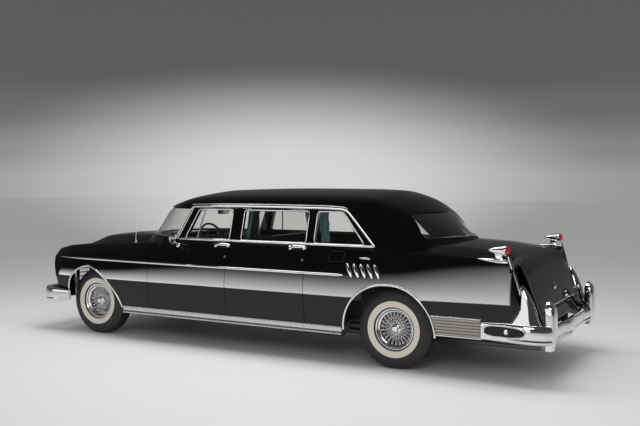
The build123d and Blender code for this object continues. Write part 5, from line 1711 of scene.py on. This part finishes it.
dashForm = dict(
    # Columns: x, z. The panel's outline from its lower edge over the top to the windshield
    outline=((1.236, 0.936), (1.206, 0.950), (1.188, 0.985), (1.178, 1.040), (1.166, 1.060), (1.163, 1.082),
             (1.172, 1.104), (1.196, 1.120), (1.250, 1.130), (1.322, 1.131), (1.330, 1.110), (1.330, 0.960)),
    reach=0.785, dials=((0.470, 0.052), (0.340, 0.052), (0.585, 0.030), (0.225, 0.030)), dialZ=1.015,
    dialX=1.184,
    wheel=(0.880, 0.390, 1.100), tilt=25, wheelRadius=0.212, rim=0.0115,
)


def makeDash():
    f = dashForm
    rows = []
    for i in range(25):
        y = f["reach"] * (-1 + i / 12)
        pull = 0.04 * abs(y / f["reach"]) ** 3
        rows.append([Vector((min(x - pull * (x < 1.25), 1.333), y, z))
                     for x, z in softLine(list(f["outline"]), 0.02)])
    panel = loftedPiece("dashPanel", rows, leatherTrim, "body", sharp=60)
    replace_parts(panel, "instrument_panel")
    line = [Vector((1.165 - 0.04 * abs(y / f["reach"]) ** 3, y, 1.072)) for y in
            [f["reach"] * 0.98 * (-1 + i / 16) for i in range(33)]]
    sweptPiece("dashStrip", line, [Vector((-1, 0, 0))] * len(line), crowned(0.016, 0.007), chrome, "body")
    for i, (y, radius) in enumerate(f["dials"]):
        place = (f["dialX"] - 0.004, y, f["dialZ"])
        spunPiece(f"dialRing_{i}", [(radius, 0.0), (radius * 0.98, 0.010), (radius * 0.90, 0.010),
                                    (radius * 0.86, 0.002), (radius * 0.86, -0.012), (radius, -0.012)],
                  place, (-1, 0, 0.08), chrome, "body", 36,
                  closedProfile=True)
        spunPiece(f"dialFace_{i}", [(0.0, 0.004), (radius * 0.12, 0.003), (radius * 0.14, 0.001),
                                    (radius * 0.87, 0.001), (radius * 0.87, -0.010)],
                  place, (-1, 0, 0.08), blackAndPaintedShade, "body", 36)
        spunPiece(f"dialNeedle_{i}", [(radius * 0.05, 0.0), (radius * 0.02, radius * 0.5),
                                      (0.0, radius * 0.74)],
                  (place[0] - 0.005, y, f["dialZ"]), (0, 0.6, 0.8), whiteRubber, "body", 6)
    for i, y in enumerate((-0.60, -0.20, 0.02)):
        spunPiece(f"dashKnob_{i}", [(0.0, 0.022), (0.010, 0.020), (0.012, 0.014), (0.007, 0.008),
                                    (0.006, -0.004)],
                  (f["dialX"] - 0.004, y, 0.990), (-1, 0, 0), chrome, "body", 20)
    # steering wheel: rim, three spokes, hub and horn ring
    centre = Vector(f["wheel"])
    tilt = math.radians(f["tilt"])
    axis = Vector((-math.cos(tilt), 0, math.sin(tilt)))
    up, across = Vector((math.sin(tilt), 0, math.cos(tilt))), Vector((0, 1, 0))
    r, rim = f["wheelRadius"], f["rim"]
    rod = [(r + u * 0.95, v * 1.15) for u, v in roundRod(rim, 14)]
    wheel = spunPiece("steeringRim", rod, centre, axis, leatherTrim, "steering_wheel", 64,
                      closedProfile=True)
    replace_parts(wheel, "steering_wheel")
    spunPiece("hornRing", [(r * 0.62 + u, v + 0.022) for u, v in roundRod(0.0045, 10)], centre, axis, chrome,
              "steering_wheel", 56, closedProfile=True)
    spunPiece("steeringHub", [(0.0, 0.030), (0.016, 0.029), (0.030, 0.022), (0.036, 0.010), (0.036, -0.020),
                              (0.024, -0.045),
                              (0.022, -0.070)], centre, axis, chrome, "steering_wheel", 36)
    for i, angle in enumerate((-12, 192, 270)):
        ray = across * math.cos(math.radians(angle)) + up * math.sin(math.radians(angle))
        line = [centre + ray * (0.02 + (r - 0.022) * k / 12) - axis * 0.012 * math.sin(math.pi * k / 12)
                for k in range(13)]
        sweptPiece(f"steeringSpoke_{i}", line, [axis] * 13, crowned(0.026, 0.008, sunk=0.004), leatherTrim,
                   "steering_wheel")
    print("dash ready")


roomForm = dict(
    visor=(0.985, 0.400, 1.462), visorSize=(0.150, 0.400, 0.018), mirror=(1.030, 0.0, 1.418),
    curtains=(("rear", 0.098, 0.160, 0.0), ("quarter", -0.800, -0.700, 0.06)),
    curtainTop=1.466, curtainLow=1.176, curtainIn=0.050, curtainRod=0.004, foldDepth=0.012, foldPitch=0.026,
    panelLow=0.47, panelTop=1.095, panelPad=0.010, padLow=0.60, padTop=0.86, padPitch=0.11, padSwell=0.006,
    # Columns: name and height of the strips on a door's panel
    panelStrips=(("Strip", 0.885), ("LowStrip", 0.580)), panelStrip=(0.010, 0.005),
    # Columns: place along the door from its middle, share of the full section
    armrest=((-0.21, 0.4), (-0.19, 0.9), (0, 1), (0.14, 1), (0.17, 0.5)), armrestZ=0.770,
    armrestSize=(0.050, 0.060),
    winder=(0.20, 0.690),
    winderFoot=((0.0, 0.030), (0.012, 0.028), (0.018, 0.016), (0.026, 0.008), (0.028, -0.002)),
    partitionX=0.130, partitionHalf=0.615, partitionLow=1.170, partitionTop=1.466,
)


def makeCurtains():
    # Gathered curtains inside the windows, each on its own rod
    f = roomForm
    for name, start, end, lean in f["curtains"]:
        for side, sign in sides:
            body = "body" if name == "quarter" else "door_rear_{side}".format(side=side)
            rod, normals = [], []
            for i in range(9):
                x = start - 0.02 + (end - start + 0.04) * i / 8
                y = sideAt(x, f["curtainTop"], houseSection)[0]
                rod.append(Vector((x, (y - f["curtainIn"]) * sign, f["curtainTop"] + 0.006)))
                normals.append(Vector((0, sign, 0)))
            holder = sweptPiece(f"curtainRod_{name}_{side}", rod, normals, roundRod(f["curtainRod"], 8),
                                chrome, body)
            columns, rows = 64, 14
            verts, length = [], 0.0
            for j in range(rows + 1):
                z = f["curtainTop"] - (f["curtainTop"] - f["curtainLow"]) * j / rows
                before = None
                for i in range(columns + 1):
                    x = start + (end - start) * i / columns - lean * j / rows
                    y = sideAt(x, z, houseSection)[0] - f["curtainIn"]
                    depth = f["foldDepth"] * (0.85 + 0.15 * math.sin(3 * i / 7))
                    swing = depth * math.sin(2 * math.pi * x / f["foldPitch"])
                    here = Vector((x, (y - swing * 0.8) * sign, z))
                    if j == rows // 2 and before is not None:
                        length += (here - before).length
                    before = here
                    verts.append(here)
            faces = gridFaces(rows + 1, columns + 1)
            piece = meshPiece(f"curtain_{name}_{side}", verts, faces, curtainCloth, body, True)
    print("curtains ready")


def makeRoom():
    f = roomForm
    for side, sign in sides:
        x, y, z = f["visor"]
        depth, width, thick = f["visorSize"]
        rows = []
        for i in range(9):
            share = -1 + i / 4
            at = y * sign + share * width / 2
            pull = 0.92 if abs(share) == 1 else 1
            rows.append([Vector((x + u, at, z + v - 0.10 * u))
                         for u, v in roundedBlock(depth * pull, thick * pull, 2.6, 20)])
        loftedPiece(f"sunVisor_{side}", rows, roofLining, "body")
    x, y, z = f["mirror"]
    rows = [[Vector((x + u, at, z + v)) for u, v in roundedBlock(0.018 * pull, 0.056 * pull, 2.6, 20)]
            for at, pull in ((-0.115, 0.3), (-0.110, 0.7), (-0.095, 1), (0, 1.04), (0.095, 1),
                             (0.110, 0.7), (0.115, 0.3))]
    loftedPiece("innerMirror", rows, chrome, "body")
    line = [Vector((x + 0.004 + 0.04 * k / 6, 0, z + 0.02 + 0.055 * k / 6)) for k in range(7)]
    sweptPiece("innerMirrorStalk", line, [Vector((0, 1, 0))] * 7, roundRod(0.006, 8), chrome, "body")
    # inside of each door: padded panel with strips, armrest and winder
    for name in doorForm:
        for side, sign in sides:
            body = f"door_{name}_{side}"
            mesh = frame["nodes"][body].data
            tree = BVHTree.FromPolygons([v.co for v in mesh.vertices], [p.vertices for p in mesh.polygons])
            d = doorForm[name]
            columns, rows, verts = 48, 22, []
            for j in range(rows + 1):
                z = f["panelLow"] + (f["panelTop"] - f["panelLow"]) * j / rows
                for i in range(columns + 1):
                    x = d["front"] - 0.06 + (d["rear"] - d["front"] + 0.12) * i / columns
                    place, _, _, _ = tree.ray_cast(Vector((x, 0.3 * sign, z)), Vector((0, sign, 0)))
                    edge = i in (0, columns) or j in (0, rows)
                    y = abs(place.y) if place else sideAt(x, z)[0] - 0.07
                    pad = 0.0 if edge else f["panelPad"]
                    if f["padLow"] < z < f["padTop"] and not edge:
                        pad += f["padSwell"] * abs(math.sin(math.pi * x / f["padPitch"])) ** 0.6
                    verts.append(Vector((x, (y - pad + 0.001) * sign, z)))
            faces = gridFaces(rows + 1, columns + 1)
            solidPiece(f"doorPanel_{name}_{side}", verts, faces, leatherTrim, body, True)
            middleX = (d["front"] + d["rear"]) / 2
            inner = tree.ray_cast(Vector((middleX, 0.3 * sign, 0.90)), Vector((0, sign, 0)))[0]
            if inner is None:
                continue
            yIn = abs(inner.y)
            half = (d["front"] - d["rear"]) / 2 - 0.10
            for label, z in f["panelStrips"]:
                line = [Vector((middleX + half * (-1 + k / 10), (yIn - 0.010) * sign, z)) for k in range(21)]
                sweptPiece(f"doorPanel{label}_{name}_{side}", line, [Vector((0, -sign, 0))] * 21,
                           crowned(*f["panelStrip"]), chrome, body)
            wide, tall = f["armrestSize"]
            arm = [[Vector((middleX + at, (yIn - 0.034) * sign + u, f["armrestZ"] + v)) for u, v in
                    roundedBlock(wide * pull, tall * pull, 3, 16)] for at, pull in f["armrest"]]
            loftedPiece(f"armrest_{name}_{side}", arm, leatherTrim, body)
            turnX, turnZ = middleX + f["winder"][0], f["winder"][1]
            spunPiece(f"winderFoot_{name}_{side}", list(f["winderFoot"]),
                      (turnX, (yIn - 0.010) * sign, turnZ), (0, -sign, 0), chrome, body, 24)
            line = [Vector((turnX - 0.008 * k, (yIn - 0.030 - 0.001 * k) * sign, turnZ + 0.009 * k))
                    for k in range(10)]
            sweptPiece(f"winder_{name}_{side}", line, [Vector((0, -sign, 0))] * 10,
                       crowned(0.014, 0.006, sunk=0.004), chrome, body)
    # glass above the wall behind the driver, in a bright frame
    x = f["partitionX"]
    half, low, top = f["partitionHalf"], f["partitionLow"], f["partitionTop"]
    loop = softLine([(-half, low), (half, low), (half, top), (-half, top)], 0.05, True)
    sweptPiece("partitionFrame", [Vector((x, y, z)) for y, z in loop[:-1]],
               [Vector((-1, 0, 0))] * (len(loop) - 1), crowned(0.016, 0.016, sunk=0.016), chrome, "body",
               closed=True)
    rows = [[Vector((x + lift, y, z)) for y, z in loop[:-1]] for lift in (-0.003, 0.003)]
    loftedPiece("partitionGlass", rows, windowGlass, "body")
    print("room ready")


makeSeats()
makeDash()
makeCurtains()
makeRoom()


# The solids that stay in view

cadFinish = {
    "chassis_frame": chassisBlack, "floor_pan": carpet, "cowl": chassisBlack, "roof_shell": roofLining,
    "grille": chrome, "front_bumper": chrome, "rear_bumper": chrome, "headlamps": clearLens,
    "tail_lamps": chrome, "tail_lenses": redLens, "instrument_panel": blackTrim, "front_seat": seatCloth,
    "rear_seat": rearSeatCloth, "partition": blackTrim, "engine_block": castIron,
    "front_suspension": darkSteel, "rear_axle": castIron, "exhaust_system": darkSteel,
    "fuel_tank": chassisBlack, "steering_wheel": blackTrim, "knuckle_left": darkSteel,
    "knuckle_right": darkSteel, "tail_panel": chassisBlack, "hood": chassisBlack, "deck_lid": chassisBlack,
}
drawnIn = ("hood", "deck_lid", "tail_panel", "cowl", "roof_shell", "front_fender_left", "front_fender_right",
           "quarter_panel_left", "quarter_panel_right", "door_front_left", "door_front_right",
           "door_rear_left", "door_rear_right")


def dressSolids():
    for name, node in frame["nodes"].items():
        material = cadFinish.get(name)
        if material is None:
            material = blackPaint if name.startswith(("door_", "front_fender", "quarter")) else chrome
        node.data.materials.clear()
        node.data.materials.append(material)
        if name in drawnIn:
            addModifier(node, "WELD", merge_threshold=0.0002)
            addModifier(node, "DISPLACE", strength=-0.007, mid_level=0.0)
    print("solids dressed")


dressSolids()


# Studio

studio = dict(
    floorColour=(0.78, 0.78, 0.79), ceiling=0.105, glowHigh=0.66, horizon=0.32, glowYaw=-1.02,
    glowWide=0.40, behind=0.05, floorFrom=5.0, floorTo=20.0, ambient=0.50,
    cameraPlace=(-4.832, 8.066, 1.796), yaw=-1.057, pitch=-0.04, lens=47.02,
    # Columns: name, place, width and height, energy, point it faces
    lamps=(("overhead", (0.0, 0.5, 5.2), (7.0, 2.6), 230, (0, 0, 0.6)),
           ("sideBox", (-3.5, 7.5, 4.2), (4.0, 2.0), 80, (0, 0, 0.6))),
    # a low wall of light strips beside the car, that only shows in gloss
    wall=dict(strips=30, x=3.9, y=5.0, low=0.08, pitch=0.072, length=12.0, power=46, fade=1.3),
    # a soft sheet in the same place, for the bright work
    sheet=dict(place=(3.0, 5.2, 1.25), size=(13.0, 2.1), power=78),
)


def backdropColour(tree, direction):
    # Dark grey above, a soft glow behind the car, pale where it meets the floor
    nodes, links = tree.nodes, tree.links
    split = nodes.new("ShaderNodeSeparateXYZ")
    links.new(direction, split.inputs[0])
    rise = nodes.new("ShaderNodeValToRGB")
    stops = rise.color_ramp.elements
    rise.color_ramp.interpolation = "EASE"
    stops[0].position, stops[0].color = 0.0, (studio["horizon"],) * 3 + (1,)
    stops[1].position, stops[1].color = 0.25, (studio["ceiling"],) * 3 + (1,)
    for at, value in ((0.035, 0.23), (0.08, 0.145), (0.125, 0.108)):
        stop = stops.new(at)
        stop.color = (value, value, value * 1.02, 1)
    links.new(split.outputs["Z"], rise.inputs["Fac"])
    toward = nodes.new("ShaderNodeVectorMath")
    toward.operation = "DISTANCE"
    centre = (math.cos(studio["glowYaw"]), math.sin(studio["glowYaw"]), 0.0)
    toward.inputs[1].default_value = centre
    squeeze = nodes.new("ShaderNodeVectorMath")
    squeeze.operation = "MULTIPLY"
    squeeze.inputs[1].default_value = (1.0, 1.0, 2.8)
    links.new(direction, squeeze.inputs[0])
    links.new(squeeze.outputs[0], toward.inputs[0])
    near = nodes.new("ShaderNodeMapRange")
    near.interpolation_type = "SMOOTHSTEP"
    near.inputs["From Min"].default_value = 0.06
    near.inputs["From Max"].default_value = studio["glowWide"]
    near.inputs["To Min"].default_value = 1.0
    near.inputs["To Max"].default_value = 0.0
    links.new(toward.outputs["Value"], near.inputs["Value"])
    side = nodes.new("ShaderNodeVectorMath")
    side.operation = "DOT_PRODUCT"
    side.inputs[1].default_value = (math.cos(studio["glowYaw"]), math.sin(studio["glowYaw"]), 0.0)
    links.new(direction, side.inputs[0])
    front = nodes.new("ShaderNodeMapRange")
    front.interpolation_type = "SMOOTHSTEP"
    front.inputs["From Min"].default_value = -0.2
    front.inputs["From Max"].default_value = 0.75
    links.new(side.outputs["Value"], front.inputs["Value"])
    fade = nodes.new("ShaderNodeMix")
    fade.data_type = "RGBA"
    links.new(front.outputs["Result"], fade.inputs["Factor"])
    fade.inputs["A"].default_value = (studio["behind"],) * 3 + (1,)
    links.new(rise.outputs["Color"], fade.inputs["B"])
    blend = nodes.new("ShaderNodeMix")
    blend.data_type = "RGBA"
    links.new(near.outputs["Result"], blend.inputs["Factor"])
    links.new(fade.outputs["Result"], blend.inputs["A"])
    blend.inputs["B"].default_value = (studio["glowHigh"],) * 3 + (1,)
    return blend.outputs["Result"]


def makeFloor():
    bm = bmesh.new()
    bmesh.ops.create_grid(bm, x_segments=1, y_segments=1, size=60)
    mesh = bpy.data.meshes.new("floor")
    bm.to_mesh(mesh)
    bm.free()
    floor = bpy.data.objects.new("floor", mesh)
    bpy.context.scene.collection.objects.link(floor)
    floorFinish = finish("floorPaint", studio["floorColour"], 0.6, variation=0.03, scale=0.3)
    nodes, links = floorFinish.node_tree.nodes, floorFinish.node_tree.links
    surface = nodes["Principled BSDF"].outputs[0]
    out = nodes["Material Output"]
    # far from the car the floor takes the backdrop's colour, so that no edge shows between them
    place = nodes.new("ShaderNodeNewGeometry")
    reach = nodes.new("ShaderNodeVectorMath")
    reach.operation = "LENGTH"
    links.new(place.outputs["Position"], reach.inputs[0])
    far = nodes.new("ShaderNodeMapRange")
    far.interpolation_type = "SMOOTHSTEP"
    far.inputs["From Min"].default_value = studio["floorFrom"]
    far.inputs["From Max"].default_value = studio["floorTo"]
    links.new(reach.outputs["Value"], far.inputs["Value"])
    flatten = nodes.new("ShaderNodeVectorMath")
    flatten.operation = "NORMALIZE"
    links.new(place.outputs["Position"], flatten.inputs[0])
    glow = nodes.new("ShaderNodeEmission")
    links.new(backdropColour(floorFinish.node_tree, flatten.outputs[0]), glow.inputs["Color"])
    mix = nodes.new("ShaderNodeMixShader")
    links.new(far.outputs["Result"], mix.inputs["Fac"])
    links.new(surface, mix.inputs[1])
    links.new(glow.outputs[0], mix.inputs[2])
    links.new(mix.outputs[0], out.inputs["Surface"])
    mesh.materials.append(floorFinish)


def makeWorld():
    world = bpy.data.worlds.new("studio")
    bpy.context.scene.world = world
    world.use_nodes = True
    nodes, links = world.node_tree.nodes, world.node_tree.links
    nodes.clear()
    place = nodes.new("ShaderNodeTexCoord")
    seen = nodes.new("ShaderNodeBackground")
    links.new(backdropColour(world.node_tree, place.outputs["Generated"]), seen.inputs["Color"])
    soft = nodes.new("ShaderNodeBackground")
    soft.inputs["Color"].default_value = (studio["ambient"],) * 3 + (1,)
    path = nodes.new("ShaderNodeLightPath")
    either = nodes.new("ShaderNodeMath")
    either.operation = "MAXIMUM"
    links.new(path.outputs["Is Camera Ray"], either.inputs[0])
    links.new(path.outputs["Is Glossy Ray"], either.inputs[1])
    through = nodes.new("ShaderNodeMath")
    through.operation = "MAXIMUM"
    links.new(either.outputs[0], through.inputs[0])
    links.new(path.outputs["Is Transmission Ray"], through.inputs[1])
    mix = nodes.new("ShaderNodeMixShader")
    links.new(through.outputs[0], mix.inputs["Fac"])
    links.new(soft.outputs[0], mix.inputs[1])
    links.new(seen.outputs[0], mix.inputs[2])
    out = nodes.new("ShaderNodeOutputWorld")
    links.new(mix.outputs[0], out.inputs["Surface"])


def paintedPieces(name, state):
    # The painted pieces, as a set that a lamp lights alone or leaves out
    chosen = bpy.data.collections.new(name)
    for piece in bpy.context.scene.objects:
        if piece.type == "MESH" and blackPaint in list(piece.data.materials):
            chosen.objects.link(piece)
    for entry in chosen.collection_objects:
        entry.light_linking.link_state = state
    return chosen


def makeGlossLamp(name, place, size, power, receivers):
    # A lamp facing the car's side that shows in its gloss and nowhere else
    lamp = bpy.data.lights.new(name, "AREA")
    lamp.shape = "RECTANGLE"
    lamp.size, lamp.size_y = size
    lamp.energy = power
    holder = bpy.data.objects.new(name, lamp)
    holder.location = place
    holder.rotation_euler = (math.radians(-90), 0, 0)
    holder.visible_camera = False
    holder.visible_diffuse = False
    holder.visible_transmission = False
    holder.light_linking.receiver_collection = receivers
    bpy.context.scene.collection.objects.link(holder)


def makeStudio():
    scene = bpy.context.scene
    onlyPaint, notPaint = paintedPieces("onlyPaint", "INCLUDE"), paintedPieces("notPaint", "EXCLUDE")
    scene.view_settings.view_transform = "Standard"
    makeFloor()
    makeWorld()
    for name, place, size, energy, aimAt in studio["lamps"]:
        lamp = bpy.data.lights.new(name, "AREA")
        lamp.shape = "RECTANGLE"
        lamp.size, lamp.size_y = size
        lamp.energy = energy
        holder = bpy.data.objects.new(name, lamp)
        holder.location = place
        aim = Vector(aimAt) - Vector(place)
        holder.rotation_euler = aim.to_track_quat("-Z", "Y").to_euler()
        holder.visible_camera = False
        holder.light_linking.receiver_collection = notPaint
        scene.collection.objects.link(holder)
    wall, sheet = studio["wall"], studio["sheet"]
    for i in range(wall["strips"]):
        place = (wall["x"], wall["y"], wall["low"] + wall["pitch"] * (i + 0.5))
        power = wall["power"] * (1 - i / wall["strips"]) ** wall["fade"]
        makeGlossLamp(f"wallStrip{i}", place, (wall["length"], wall["pitch"]), power, onlyPaint)
    makeGlossLamp("chromeSheet", sheet["place"], sheet["size"], sheet["power"], notPaint)

    lens = bpy.data.cameras.new("camera")
    lens.sensor_width = 36.0
    lens.lens = studio["lens"]
    camera = bpy.data.objects.new("camera", lens)
    camera.location = studio["cameraPlace"]
    yaw, pitch = studio["yaw"], studio["pitch"]
    look = Vector((math.cos(yaw) * math.cos(pitch), math.sin(yaw) * math.cos(pitch), math.sin(pitch)))
    camera.rotation_euler = look.to_track_quat("-Z", "Y").to_euler()
    scene.collection.objects.link(camera)
    scene.camera = camera
    print("studio ready")


makeStudio()
